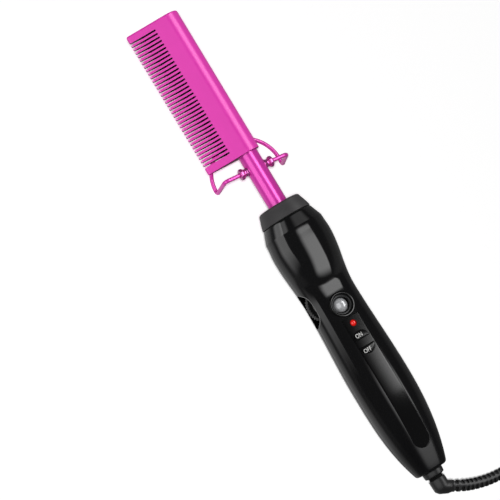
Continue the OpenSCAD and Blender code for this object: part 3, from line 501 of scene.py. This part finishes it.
def shell(first):
    """One half of the handle from the angle first: its skin, wall, lips and tail."""
    steps, lip = 52, 0.22
    share = np.concatenate([[0, 0.002, 0.006], np.linspace(0.014, 0.986, steps - 5), [0.994, 0.998, 1]])
    edge = [lip * (1 - smooth_step(min(s, 1 - s) / 0.006)) for s in share]
    ways = first + 180 * share
    body_u = np.concatenate([[MOUTH, MOUTH + 0.1, MOUTH + 0.35], np.linspace(11.5, 17.2, 8),
                             [17.6, 17.85, 18.15, 18.4], np.linspace(19, SEAT, 112)])
    lips = {MOUTH: 0.3, MOUTH + 0.1: 0.12}
    rings = [[skin(u, a, lips.get(u, 0) + e) for a, e in zip(ways, edge)]
             + [skin(u, a, WALL) for a in ways[::-1]] for u in body_u]

    def tail_ring(u, hole_u):
        """The skin at u and the cord's hole, which is centred on the parting line at hole_u."""
        return ([skin(u, a, e) for a, e in zip(ways, edge)]
                + [(-u, HOLE_R * math.cos(math.radians(a)),
                    part_z(hole_u) + HOLE_R * math.sin(math.radians(a))) for a in ways[::-1]])

    rings.append(tail_ring(SEAT + 0.5, SEAT))
    for turn in range(0, 91, 10):
        u = HANDLE_END - TAIL_ROUND + TAIL_ROUND * math.sin(math.radians(turn))
        rings.append(tail_ring(u, u))
    points, faces = loft(rings, caps=False)
    n, last = len(rings[0]), (len(rings) - 1) * len(rings[0])
    ends = [(n - 1 - k, n - 2 - k, k + 1, k) for k in range(n // 2 - 1)]
    return points, faces + ends + [tuple(last + v for v in f[::-1]) for f in ends]


def prism(outline, low, high):
    """(points, faces) of an upright prism over an outline of (x, y)."""
    return loft([[(x, y, z) for x, y in outline] for z in (low, high)])


def disc(u, y, r, steps=72):
    """The outline of a disc at a handle station."""
    return [(-u + r * math.cos(2 * math.pi * k / steps), y + r * math.sin(2 * math.pi * k / steps))
            for k in range(steps)]


def join(forms):
    """One (points, faces) form of several."""
    points, faces = [], []
    for some_points, some_faces in forms:
        faces += [tuple(v + len(points) for v in f) for f in some_faces]
        points += [tuple(p) for p in some_points]
    return points, faces


def chamfer(mesh, is_cut, width):
    """Chamfer the edges where a cut face meets the skin."""
    work = bmesh.new()
    work.from_mesh(mesh)
    work.faces.ensure_lookup_table()
    cut = [is_cut(f) for f in work.faces]
    edges = [e for e in work.edges if len(e.link_faces) == 2
             and cut[e.link_faces[0].index] != cut[e.link_faces[1].index]]
    bmesh.ops.bevel(work, geom=edges, offset=width * MM, segments=1, affect="EDGES", clamp_overlap=True)
    work.to_mesh(mesh)
    work.free()


def carve(obj, cutters, is_cut=None, width=0.0):
    """Cut each form out of the object. What is left of its skin keeps its smooth shading."""
    guide = obj.data.copy()
    for form in cutters:
        tool = add_mesh("cutter", *form)
        change = obj.modifiers.new("cut", "BOOLEAN")
        change.object, change.solver = tool, "EXACT"
        result = bpy.data.meshes.new_from_object(obj.evaluated_get(bpy.context.evaluated_depsgraph_get()))
        obj.modifiers.clear()
        obj.data = result
        bpy.data.objects.remove(tool)
    if is_cut:
        chamfer(obj.data, is_cut, width)
    tree = BVHTree.FromPolygons([v.co for v in guide.vertices], [p.vertices for p in guide.polygons])
    corners = [n.vector for n in guide.corner_normals]
    mesh, normals = obj.data, []
    for face in mesh.polygons:
        for v in face.vertices:
            at = mesh.vertices[v].co
            near, flat, index, _ = tree.find_nearest(at.lerp(face.center, 0.002))
            normal = face.normal
            if (near - at).length < 0.0001 and flat.dot(face.normal) > 0.93:
                old = guide.polygons[index]
                weights = poly_3d_calc([guide.vertices[i].co for i in old.vertices], near)
                normal = sum((corners[i] * w for i, w in zip(old.loop_indices, weights)), Vector())
            normals.append(normal.normalized())
    mesh.polygons.foreach_set("use_smooth", [True] * len(mesh.polygons))
    mesh.normals_split_custom_set(normals)


WINDOW_AT, DISH_R, WHEEL_AT, WHEEL_TOP, WHEEL_THICK = 69.3, 7.6, 63.2, 0.7, 4.8
STRIP_HALF, STRIP_FROM, STRIP_END, LAMP_AT, LAMP_R = 5.5, 77.8, 164.0, 81.8, 1.8
BUTTON_R, ON_AT, OFF_AT, PROUD, CROWN = 4.9, 92.0, 96.7, 0.3, 0.07
SCOOP_Y, SCOOP_HALF, SCOOP_LOW, OUTSIDE = 13.5, 12.2, -9.6, 30
LIP_HALF, LIP_DIP, LIP_R = 11.5, 7, 0.3
SLOT_HALF, SLOT_FROM, SLOT_RISE = 9.6, 7, 2.85
# Station, side and seat height of the four screw holes in the back
SCREW_HOLES = ((47.5, 9, -14.0), (47.5, -9, -14.0), (145, 10.6, -15.0), (145, -10.6, -15.0))
SCREW_HOLE_R = 2.5
STRIP_BEND = STRIP_END - STRIP_HALF


def half_round(at, way, r, back=0.0, steps=28):
    """The outline of a button: its arc points to the head (way 1) or to the tail (way -1)."""
    arc = [math.radians(-90 + 180 * k / steps) for k in range(steps + 1)]
    return [(-at + way * (r * math.cos(a) - (back if abs(math.cos(a)) < 1e-9 else 0)), r * math.sin(a))
            for a in arc]


def scoop_top(x):
    """Height of the scoop's upper edge, x from the wheel's middle: flat there, and down at both ends."""
    return WHEEL_TOP + 0.55 - LIP_DIP * (abs(x) / LIP_HALF) ** 5


def scoop():
    """The hollow beside the wheel, as a cutter. Its floor is flat at the wheel and runs out at its ends."""
    flat_half, run_out, rise = 8, 4.5, 3.2
    rings = []
    for x in np.linspace(-SCOOP_HALF, SCOOP_HALF, 27):
        inner, top = SCOOP_Y + rise * float(smooth_step((abs(x) - flat_half) / run_out)), scoop_top(x)
        rings.append([(-WHEEL_AT + x, y, z) for y, z in
                      ((inner, SCOOP_LOW), (OUTSIDE, SCOOP_LOW), (OUTSIDE, top), (inner, top))])
    return loft(rings)


def front_cuts():
    """What is cut from the front: the window, the strip's pocket, the scoop and the wheel's slot."""
    pocket = [(-STRIP_FROM + GAP, -STRIP_HALF - GAP)]
    pocket += [(-STRIP_BEND + (STRIP_HALF + GAP) * math.sin(math.radians(a)),
                (STRIP_HALF + GAP) * -math.cos(math.radians(a))) for a in range(0, -181, -6)]
    pocket += [(-STRIP_FROM + GAP, STRIP_HALF + GAP)]
    middle = WHEEL_TOP - WHEEL_THICK / 2
    slot = loft([[(-WHEEL_AT + x * SLOT_HALF, y, middle + z * SLOT_RISE) for x, z in
                  ((-1, -1), (1, -1), (1, 1), (-1, 1))] for y in (SLOT_FROM, SCOOP_Y + 0.2)])
    return [prism(disc(WINDOW_AT, 0, DISH_R + GAP), 0, OUTSIDE), prism(pocket, 0, OUTSIDE), scoop(), slot]


front = piece("handle_front", shell(0), "gloss_black", "comb", ["front_shell"], angle=60)
carve(front, front_cuts())
back = piece("handle_back", shell(180), "gloss_black", "comb", ["rear_shell"], angle=60)
carve(back, [scoop()] + [prism(disc(u, y, SCREW_HOLE_R, 40), -40, z) for u, y, z in SCREW_HOLES])


def scoop_lip():
    """A thin raised lip along the scoop's upper edge."""
    line = []
    for x in np.linspace(-LIP_HALF, LIP_HALF, 48):
        way = [skin(WHEEL_AT - x, a, 0.12) for a in np.linspace(2, 80, 157)]
        line.append(min(way, key=lambda p: abs(p[2] - scoop_top(x) - 0.1)))
    return line_tube(line, LIP_R, 8)


# The lip's lighter grey is a painted highlight.
piece("scoop_lip", scoop_lip(), "lip_painted_highlight", "comb", angle=60)


# ---------------------------------------------------------------- controls
def strip():
    """The inlay: flatter than the skin, so its rounded long edges stand a little proud."""
    edge, rise = 0.3, 0.1
    across = np.concatenate([[-1], -1 + edge / STRIP_HALF * (1 - np.cos(np.radians([30, 60, 90]))),
                             np.linspace(-0.85, 0.85, 15),
                             1 - edge / STRIP_HALF * (1 - np.cos(np.radians([90, 60, 30]))), [1]])
    drop = edge * (1 - np.sqrt(np.maximum(0, 1 - ((1 - np.minimum(1, (1 - np.abs(across)) * STRIP_HALF
                                                                   / edge))) ** 2)))
    stations = list(np.linspace(STRIP_FROM, STRIP_BEND, 60))
    stations += [STRIP_BEND + STRIP_HALF * math.sin(math.radians(a)) for a in range(6, 85, 6)]
    rings = []
    for u in stations:
        past = max(0, u - STRIP_BEND)
        half = math.sqrt(STRIP_HALF ** 2 - past ** 2)
        sink = edge * (1 - math.sqrt(max(0, 1 - max(0, 1 - (STRIP_HALF - past) / edge) ** 2)))
        crown = front_at(u, 0)
        side = front_at(u, STRIP_HALF)
        top = [(-u, s * half, crown + (side - crown) * 0.3 * s * s - rise - max(d, sink))
               for s, d in zip(across, drop)]
        rings.append(top + [(-u, p[1], side - 1.3) for p in top[::-1]])
    return loft(rings)


inlay = piece("control_inlay", strip(), "strip_black", "comb", ["control_strip"], angle=60)
carve(inlay, [prism(disc(LAMP_AT, 0, LAMP_R + GAP, 40), -5, 20),
              prism(half_round(ON_AT, 1, BUTTON_R + GAP, GAP), -5, 20),
              prism(half_round(OFF_AT, -1, BUTTON_R + GAP, GAP), -5, 20)])


def button_form(at, way):
    """A half-round cap with a rounded rim, its flange and its stem."""
    middle = at - way * BUTTON_R / 2
    top = front_at(middle, 0) + PROUD
    low = front_at(middle, BUTTON_R + 1.2, WALL) - GAP
    outline = np.array(half_round(at, way, BUTTON_R))
    centre = np.array([-at + way * BUTTON_R * 0.42, 0])
    rings = []
    for inset, z in ((0, low - 0.9), (0, top - 0.45), (0.05, top - 0.25), (0.15, top - 0.11),
                     (0.32, top - 0.03), (0.55, top), (1.1, top + 0.04), (1.7, top + CROWN)):
        away = outline - centre
        size = np.linalg.norm(away, axis=1, keepdims=True)
        rings.append([(x, y, z) for x, y in centre + away * (1 - inset / size)])
    return loft(rings)


on_key = piece("on_key_cap", button_form(ON_AT, 1), "button_black", "on_key", ["on_button"], angle=40)
off_key = piece("off_key_cap", button_form(OFF_AT, -1), "button_black", "off_key", ["off_button"], angle=40)


def word(name, text, at, height, width, body, z):
    """A plain word printed on a button, with its letters' tops toward the head."""
    data = bpy.data.curves.new(name, "FONT")
    data.body, data.align_x, data.align_y = text, "CENTER", "CENTER"
    data.offset = 0.006
    data.resolution_u = 6
    source = bpy.data.objects.new(name, data)
    bpy.context.scene.collection.objects.link(source)
    mesh = bpy.data.meshes.new_from_object(source.evaluated_get(bpy.context.evaluated_depsgraph_get()))
    bpy.data.objects.remove(source)
    flat = np.array([v.co[:] for v in mesh.vertices])
    low, high = flat.min(axis=0), flat.max(axis=0)
    share = (flat - (low + high) / 2) / np.maximum(high - low, 1e-6)
    count, thick, aside = len(flat), 0.04, 1.3
    top = np.c_[-at + share[:, 1] * height, aside - share[:, 0] * width, np.full(count, z + thick)]
    points = np.r_[top, top - [0, 0, 2 * thick]]
    faces = [tuple(p.vertices) for p in mesh.polygons]
    edges = dict.fromkeys((a, b) for f in faces for a, b in zip(f, f[1:] + f[:1]))
    walls = [(a, b, b + count, a + count) for a, b in edges if (b, a) not in edges]
    piece(name, (points, faces + [tuple(v + count for v in f[::-1]) for f in faces] + walls),
          "word_white", body, angle=30)


word("word_on", "ON", 89.6, 2.6, 4.3, "on_key", front_at(ON_AT - BUTTON_R / 2, 0) + PROUD + CROWN)
word("word_off", "OFF", 99.3, 2.5, 5.0, "off_key", front_at(OFF_AT + BUTTON_R / 2, 0) + PROUD + CROWN)

# ---------------------------------------------------------------- window, lamp and wheel
RIM_Z = front_at(WINDOW_AT, 0) + 0.1
DISH_FLOOR, DOME_R = WHEEL_TOP + 0.9, 4.2


def bezel():
    """The window's ring: a bevelled rim and a bowl down to the dome."""
    lip = 1.1
    deep = RIM_Z - DISH_FLOOR - 0.8
    bowl = [(DISH_R - lip - (DISH_R - lip - DOME_R - GAP) * math.sin(a),
             RIM_Z - 0.12 - deep * (1 - math.cos(a) ** 1.6)) for a in np.radians(np.arange(4, 91, 5))]
    roll = [(DISH_R, RIM_Z - 0.4), (DISH_R - 0.1, RIM_Z - 0.2), (DISH_R - 0.3, RIM_Z - 0.1),
            (DISH_R - 0.8, RIM_Z + 0.05), (DISH_R - 1.0, RIM_Z)]
    ring_line = [(DOME_R + GAP, DISH_FLOOR), (DISH_R, DISH_FLOOR)] + roll + bowl
    return lathe(ring_line + ring_line[:1], 96, place=(-WINDOW_AT, 0, 0))


def dome():
    """The dome over the number disc: a short round wall and a cap of a sphere."""
    cap, wall, steps = 2.2, 1.8, 16
    big = (DOME_R ** 2 + cap ** 2) / (2 * cap)
    reach = math.asin(DOME_R / big)
    edge = DISH_FLOOR + wall
    cover = [(big * math.sin(reach * (1 - i / steps)),
              edge + cap - big + big * math.cos(reach * (1 - i / steps))) for i in range(steps + 1)]
    return lathe([(0, DISH_FLOOR - 0.4), (DOME_R, DISH_FLOOR - 0.4)] + cover, 96, place=(-WINDOW_AT, 0, 0))


window_ring = piece("window_ring", bezel(), "gloss_black", "comb", ["window_bezel"], angle=50)
piece("window_cap", dome(), "clear_dome", "comb", ["window_dome"], angle=40)


# ---------------------------------------------------------------- comb head
HEAD_FROM, SPINE_R, TIP_HALF, HEAD_ROUND, LOW_ROUND = 34.0, 7.85, 1.3, 1.2, 0.35
SLOTS_N, SLOT_PITCH, SLOT_W, SLOT_ROOT, BORE_R = 36, 2.38, 1.08, 10.6, 6.05
SLOT_FIRST = HEAD_FROM + (HEAD_END - HEAD_FROM - (SLOTS_N - 1) * SLOT_PITCH - SLOT_W) / 2


def head_outline(inset):
    """The section of the head: a round spine, flat sides and rounded tooth tips, as (y, z)."""
    big, small, far = SPINE_R - inset, TIP_HALF - inset, TOOTH_REACH - TIP_HALF
    lean = math.degrees(math.asin((big - small) / far))
    back_arc = [(big * math.cos(a), big * math.sin(a))
                for a in np.radians(np.linspace(90 - lean, 270 + lean, 45))]
    tip_arc = [(far + small * math.cos(a), small * math.sin(a))
               for a in np.radians(np.linspace(-90 + lean, 90 - lean, 8))]

    def flat(a, b):
        return [tuple(np.array(a) + (np.array(b) - a) * t) for t in (0.015, 0.985)]
    return back_arc + flat(back_arc[-1], tip_arc[0]) + tip_arc + flat(tip_arc[-1], back_arc[0])


def head_form():
    """The head without its slots: its section along the stem, with rounded ends."""
    turn = np.radians(np.arange(0, 91, 15))
    steps = [(HEAD_FROM + LOW_ROUND * (1 - math.sin(t)), LOW_ROUND * (1 - math.cos(t))) for t in turn[::-1]]
    steps += [(HEAD_END - HEAD_ROUND * (1 - math.sin(t)), HEAD_ROUND * (1 - math.cos(t))) for t in turn]
    return loft([[(x, y, z) for y, z in head_outline(inset)] for x, inset in steps])


def head_cuts():
    """The slots between the teeth, with round roots and flared mouths, and the bore of the spine."""
    half = SLOT_W / 2
    arc = [(-half * math.cos(a), half - half * math.sin(a)) for a in np.radians(np.arange(0, 181, 20))]
    far = TOOTH_REACH - SLOT_ROOT
    flare = [(half, far - 1.0), (half + 0.1, far - 0.5), (half + 0.4, far + 0.05), (half + 0.4, 20)]
    outline = arc + flare + [(-x, y) for x, y in flare[::-1]]
    slots = [prism([(SLOT_FIRST + half + i * SLOT_PITCH + x, SLOT_ROOT + y) for x, y in outline], -9, 9)
             for i in range(SLOTS_N)]
    low, high = HEAD_FROM - 1, HEAD_END + 1
    bore = lathe([(0, low), (BORE_R, low), (BORE_R, high), (0, high)], 64, "x")
    return join(slots + [bore])


SLOTS_TO = HEAD_END - SLOT_FIRST + HEAD_FROM


def is_slot_wall(face):
    """Slot walls stand upright, inside the row of teeth."""
    x, y = (face.calc_center_median()[i] / MM - OFFSET[i] / MM for i in range(2))
    return (abs(face.normal.z) < 0.02 and y > SLOT_ROOT - 0.1 and abs(face.normal.y) < 0.999
            and SLOT_FIRST - 0.1 < x < SLOTS_TO + 0.1)


head = piece("comb_teeth", head_form(), "pink_aluminium", "comb", ["comb_head"], angle=60)
carve(head, [head_cuts()], is_slot_wall, 0.2)
for shade in ("slot_painted_shade", "tooth_edge_painted_highlight", "end_face_painted_shade"):
    head.data.materials.append(MATS[shade])
for face in head.data.polygons:
    middle, steep = face.center / MM - Vector(OFFSET) / MM, abs(face.normal.z)
    in_teeth = middle.y > SLOT_ROOT - 0.4 and SLOT_FIRST - 0.4 < middle.x < SLOTS_TO + 0.4
    if in_teeth and steep < 0.95 and abs(face.normal.y) < 0.999:
        # Slot walls take painted shade and the chamfers along the teeth a painted highlight.
        face.material_index = 1 if steep < 0.02 else 2
    elif face.normal.x < -0.9:
        # The lower end face takes painted shade.
        face.material_index = 3


def collar():
    """The collar: a rounded top edge, a slightly barrelled side and a small edge at its seam."""
    top_r, low_r, high, roll, top = 13.5, 15.8, 10.0, 1.7, -0.8
    bore, neck_r, neck_end = 6.05, 13.45, -13.3
    over = [(top_r - roll + roll * math.sin(math.radians(a)), top - roll + roll * math.cos(math.radians(a)))
            for a in range(0, 81, 8)]
    side = [(top_r + (low_r - top_r) * t + 0.15 * math.sin(math.pi * t),
             top - roll - (high + top - roll - 0.3) * t) for t in np.linspace(0.08, 0.97, 9)]
    line = [(bore, top - 0.15), (bore + 0.25, top)] + over + side
    line += [(low_r, -high + 0.3), (low_r - 0.12, -high + 0.08), (low_r - 0.3, -high), (neck_r, -high),
             (neck_r, neck_end), (bore, neck_end)]
    return lathe(line + line[:1], 96, "x")


piece("collar_cap", collar(), "grey_plastic", "comb", ["collar"], angle=40)


def bushes():
    """Two small spools on the stem: a flared neck and a round flange with a dimple for the wire."""
    skew, roll, pivot_at = math.radians(4.5), 0.85, 24.2
    line = [(1.3, 5.0), (2.9, 5.0), (2.9, 6.0), (2.55, 6.5), (2.3, 7.1), (2.25, 7.7), (2.4, 8.1), (2.9, 8.35)]
    line += [(3.35 - roll + roll * math.sin(math.radians(a)), 9.3 - roll * math.cos(math.radians(a)))
             for a in range(20, 91, 14)]
    line += [(3.35 - roll + roll * math.cos(math.radians(a)), 10.0 + roll * math.sin(math.radians(a)))
             for a in range(0, 91, 15)]
    line += [(1.8, 10.8), (1.5, 10.6), (1.3, 10.3)]
    points, faces = lathe(line + line[:1], 48)
    both, sides = [], []
    for way in (1, -1):
        turned = np.c_[points[:, 0], way * points[:, 2], points[:, 1]]
        x = turned[:, 0] * math.cos(skew) + turned[:, 1] * math.sin(skew)
        y = -turned[:, 0] * math.sin(skew) + turned[:, 1] * math.cos(skew)
        sides += [tuple(v + len(both) for v in f) for f in faces]
        both += list(np.c_[pivot_at + x, y, turned[:, 2]])
    return both, sides


spools = piece("stand_spools", bushes(), "pink_steel", "comb", ["stand_bushes"], angle=50)
paint(spools, "spool_steel")

# ---------------------------------------------------------------- swivel
SWIVEL_Z = -10.5


def socket():
    """The swivel's ring: a sleeve in the tail and a rounded collar outside it."""
    bore, sleeve_r, inner_end = 4.4, 5.6, -165.5
    line = [(bore, inner_end), (sleeve_r, inner_end), (5.9, -178), (6.25, -178.2), (6.35, -178.5),
            (6.1, -181.1), (6.0, -181.4), (5.7, -181.6), (5.0, -181.8), (4.7, -182), (bore, -182)]
    return lathe(line + line[:1], 72, "x", (0, 0, SWIVEL_Z))


def elbow():
    """A mitred cap that turns the swivel's axis into the cord's."""
    rings = [ring(np.array([x, 0, SWIVEL_Z]), np.array([-1.0, 0, 0]), [r] * 40)
             for x, r in ((-183.4, 4.2), (-183.45, 4.75), (-183.7, 5.0), (-184.1, 5.1), (-186.8, 5.1))]
    mitre = np.array([-0.964, -0.265, 0.0])
    steeper = mitre * [1, 1.9, 1]
    rings.append(ring(np.array([-188.9, -0.1, SWIVEL_Z]), mitre, [5.15] * 40))
    rings.append(ring(np.array([-189.9, -0.9, SWIVEL_Z]), steeper / np.linalg.norm(steeper), [4.75] * 40))
    rings.append(ring(np.array([-190.9, -3.2, SWIVEL_Z - 0.05]), heading(STRAIN_ROUTE, 0.0), [3.9] * 40))
    rings.append(ring(curve_at(STRAIN_ROUTE, 0.06), heading(STRAIN_ROUTE, 0.06), [3.5] * 40))
    rings.append(ring(curve_at(STRAIN_ROUTE, 0.1), heading(STRAIN_ROUTE, 0.1), [3.3] * 40))
    return loft(rings)


def neck():
    """The elbow's shaft in the swivel's ring."""
    return lathe([(0, -183.6), (4.35, -183.6), (4.35, -166), (0, -166)], 64, "x", (0, 0, SWIVEL_Z))


piece("swivel_ring", socket(), "grey_black_plastic", "comb", ["swivel_socket"], angle=50)
piece("elbow_cap", elbow(), "grey_black_plastic", "swivel", ["cord_elbow"], angle=50)
elbow_neck = piece("elbow_neck", neck(), "grey_black_plastic", "swivel", angle=50)
# The neck shows only in the gap between ring and cap, so it takes painted shade.
paint(elbow_neck, "recess_painted_shade")


# ---------------------------------------------------------------- floor and light
def add_floor():
    """A pale floor a hair under the object. It stays out of the glossy reflections."""
    mesh = bpy.data.meshes.new("floor")
    half, level = 3, -0.0002
    mesh.from_pydata([(-half, -half, level), (half, -half, level), (half, half, level), (-half, half, level)],
                     [], [(0, 1, 2, 3)])
    obj = bpy.data.objects.new("floor", mesh)
    bpy.context.scene.collection.objects.link(obj)
    mesh.materials.append(material("floor_white", (0.86, 0.86, 0.86), 0.7, 0, 0.005, 3,
                                   Emission_Color=(1, 1, 1, 1), Emission_Strength=0.25))
    obj.visible_glossy = False
    return obj


def add_dome():
    """A dark room, lighter near the horizon, with a bright ground to the comb's tooth side."""
    world = bpy.data.worlds.new("world")
    world.use_nodes = True
    tree = world.node_tree
    coords = tree.nodes.new("ShaderNodeTexCoord")
    total = None
    for slope, low, high, start, end in ((0.0, 0.08, 0.35, 0.12, 0.045), (-0.5, -0.95, -0.7, 0.36, 0.0)):
        along = tree.nodes.new("ShaderNodeVectorMath")
        along.operation = "DOT_PRODUCT"
        along.inputs[1].default_value = (0, slope, 1)
        step = tree.nodes.new("ShaderNodeMapRange")
        step.interpolation_type = "SMOOTHSTEP"
        for key, value in (("From Min", low), ("From Max", high), ("To Min", start), ("To Max", end)):
            step.inputs[key].default_value = value
        tree.links.new(coords.outputs["Generated"], along.inputs[0])
        tree.links.new(along.outputs["Value"], step.inputs["Value"])
        if total is None:
            total = step.outputs[0]
        else:
            both = tree.nodes.new("ShaderNodeMath")
            tree.links.new(total, both.inputs[0])
            tree.links.new(step.outputs[0], both.inputs[1])
            total = both.outputs[0]
    tree.nodes["Background"].inputs["Color"].default_value = (1, 1, 1, 1)
    tree.links.new(total, tree.nodes["Background"].inputs["Strength"])
    bpy.context.scene.world = world


def panel(name, x_angles, y_angles, far, radiance, receivers=(), soft=(0, 0, 0, 0)):
    """A soft panel seen from the handle between two pairs of angles off the vertical.

    soft holds the shares of the panel over which it fades at its two x and its two y edges."""
    x0, x1 = (math.radians(a) for a in x_angles)
    y0, y1 = (math.radians(a) for a in y_angles)
    middle = Vector((math.tan((x0 + x1) / 2), math.tan((y0 + y1) / 2), 1)).normalized() * far
    size = 2 * far * math.tan(abs(x1 - x0) / 2), 2 * far * math.tan(abs(y1 - y0) / 2)
    back = middle.normalized()
    along = (Vector((1, 0, 0)) - back * back.x).normalized()
    turn = Matrix((along, back.cross(along), back)).transposed().to_4x4()
    place = Matrix.Translation(middle + Vector((0, 0, 0.03))) @ turn
    soft_light(name, place, size, radiance, receivers, soft)


def soft_light(name, place, size, radiance, receivers, soft):
    """An area light of even radiance that fades towards its edges and lights only its receivers."""
    data = bpy.data.lights.new(name, "AREA")
    data.shape = "RECTANGLE"
    data.size, data.size_y = size
    data.energy = radiance * math.pi * size[0] * size[1]
    if any(soft):
        data.use_nodes = True
        tree = data.node_tree
        place_on = tree.nodes.new("ShaderNodeNewGeometry")
        parts = tree.nodes.new("ShaderNodeSeparateXYZ")
        tree.links.new(place_on.outputs["Parametric"], parts.inputs[0])
        total = None
        for (axis, start), share in zip((("X", 0), ("X", 1), ("Y", 0), ("Y", 1)), soft):
            if not share:
                continue
            edge = tree.nodes.new("ShaderNodeMapRange")
            edge.interpolation_type = "SMOOTHSTEP"
            edge.inputs["From Min"].default_value = start
            edge.inputs["From Max"].default_value = start + share * (1 - 2 * start)
            tree.links.new(parts.outputs[axis], edge.inputs["Value"])
            if total is None:
                total = edge.outputs[0]
            else:
                both = tree.nodes.new("ShaderNodeMath")
                both.operation = "MULTIPLY"
                tree.links.new(total, both.inputs[0])
                tree.links.new(edge.outputs[0], both.inputs[1])
                total = both.outputs[0]
        tree.links.new(total, tree.nodes["Emission"].inputs["Strength"])
    obj = bpy.data.objects.new(name, data)
    obj.matrix_world = place
    obj.visible_camera = False
    bpy.context.scene.collection.objects.link(obj)
    if receivers:
        group = bpy.data.collections.new(name + "_receivers")
        for item in receivers:
            group.objects.link(item)
        obj.light_linking.receiver_collection = group


floor = add_floor()
add_dome()
handle = [front, back]
controls = [inlay, on_key, off_key]
comb = [head, NODES["tip_plug"]]
tubes = [spools, NODES["stem_tube"], NODES["stand_wire"]]
window, dial = [window_ring], [NODES["temperature_wheel"], NODES["number_disc"]]
others = [obj for obj in bpy.context.scene.objects if obj.type == "MESH"
          and obj not in [floor] + handle + controls + comb + tubes + window + dial]
panel("light_bulge", (-62, -1), (14, -46), 2.0, 2.5, [front], (0.35, 0.08, 0.1, 0.35))
panel("light_mouth", (12, 38), (5, -62), 2.0, 0.5, handle, (0.4, 0.3, 0.3, 0.3))
panel("light_mouth_left", (12, 44), (28, 66), 2.0, 1.0, handle, (0.5, 0.2, 0.3, 0.3))
panel("light_comb", (-36, 40), (-13, -61), 2.0, 3.6, comb, (0.15, 0.15, 0.3, 0.3))
panel("light_comb_left", (-36, 46), (4, 84), 1.6, 1.5, comb, (0.15, 0.15, 0.3, 0.12))
panel("light_tube", (-36, 40), (0, -40), 2.0, 4.0, tubes, (0.15, 0.15, 0.3, 0.3))
panel("light_tube_left", (-36, 46), (24, 80), 1.6, 1.7, tubes, (0.15, 0.15, 0.2, 0.1))
panel("light_key", (-36, 40), (-34, -68), 2.0, 3.4, others, (0.15, 0.15, 0.25, 0.25))
panel("light_fill", (-36, 46), (-4, 84), 1.6, 1.15, others, (0.15, 0.15, 0.12, 0.12))
panel("light_strip", (-9, -1), (-14, -40), 1.0, 3.0, controls, (0.25, 0.3, 0, 0.5))
panel("light_edge", (-75, 12), (-44, -80), 1.6, 1.4, controls, (0.15, 0.15, 0.15, 0.15))
panel("light_window", (-38, 6), (-8, -54), 1.6, 3.0, window, (0.2, 0.2, 0.2, 0.2))
panel("light_dial", (-30, 30), (20, 70), 1.6, 0.35, dial, (0.2, 0.2, 0.2, 0.2))
# A near panel that stands upright on the comb's tooth side
side = Matrix(((1, 0, 0), (0, 0, -1), (0, 1, 0))).transposed().to_4x4()
soft_light("light_left", Matrix.Translation(row([20, 160, 55])) @ side, (0.26, 0.152), 1.45, handle,
           (0.3, 0, 0, 0.35))
# A lamp behind the camera's place keeps the floor white
above = bpy.context.scene.camera.matrix_world
soft_light("light_floor", Matrix.Translation(above.to_3x3() @ Vector((0, 0, 2.6))) @ above, (0.4, 0.4), 290,
           [floor], ())
bpy.context.scene.view_settings.view_transform = "Standard"
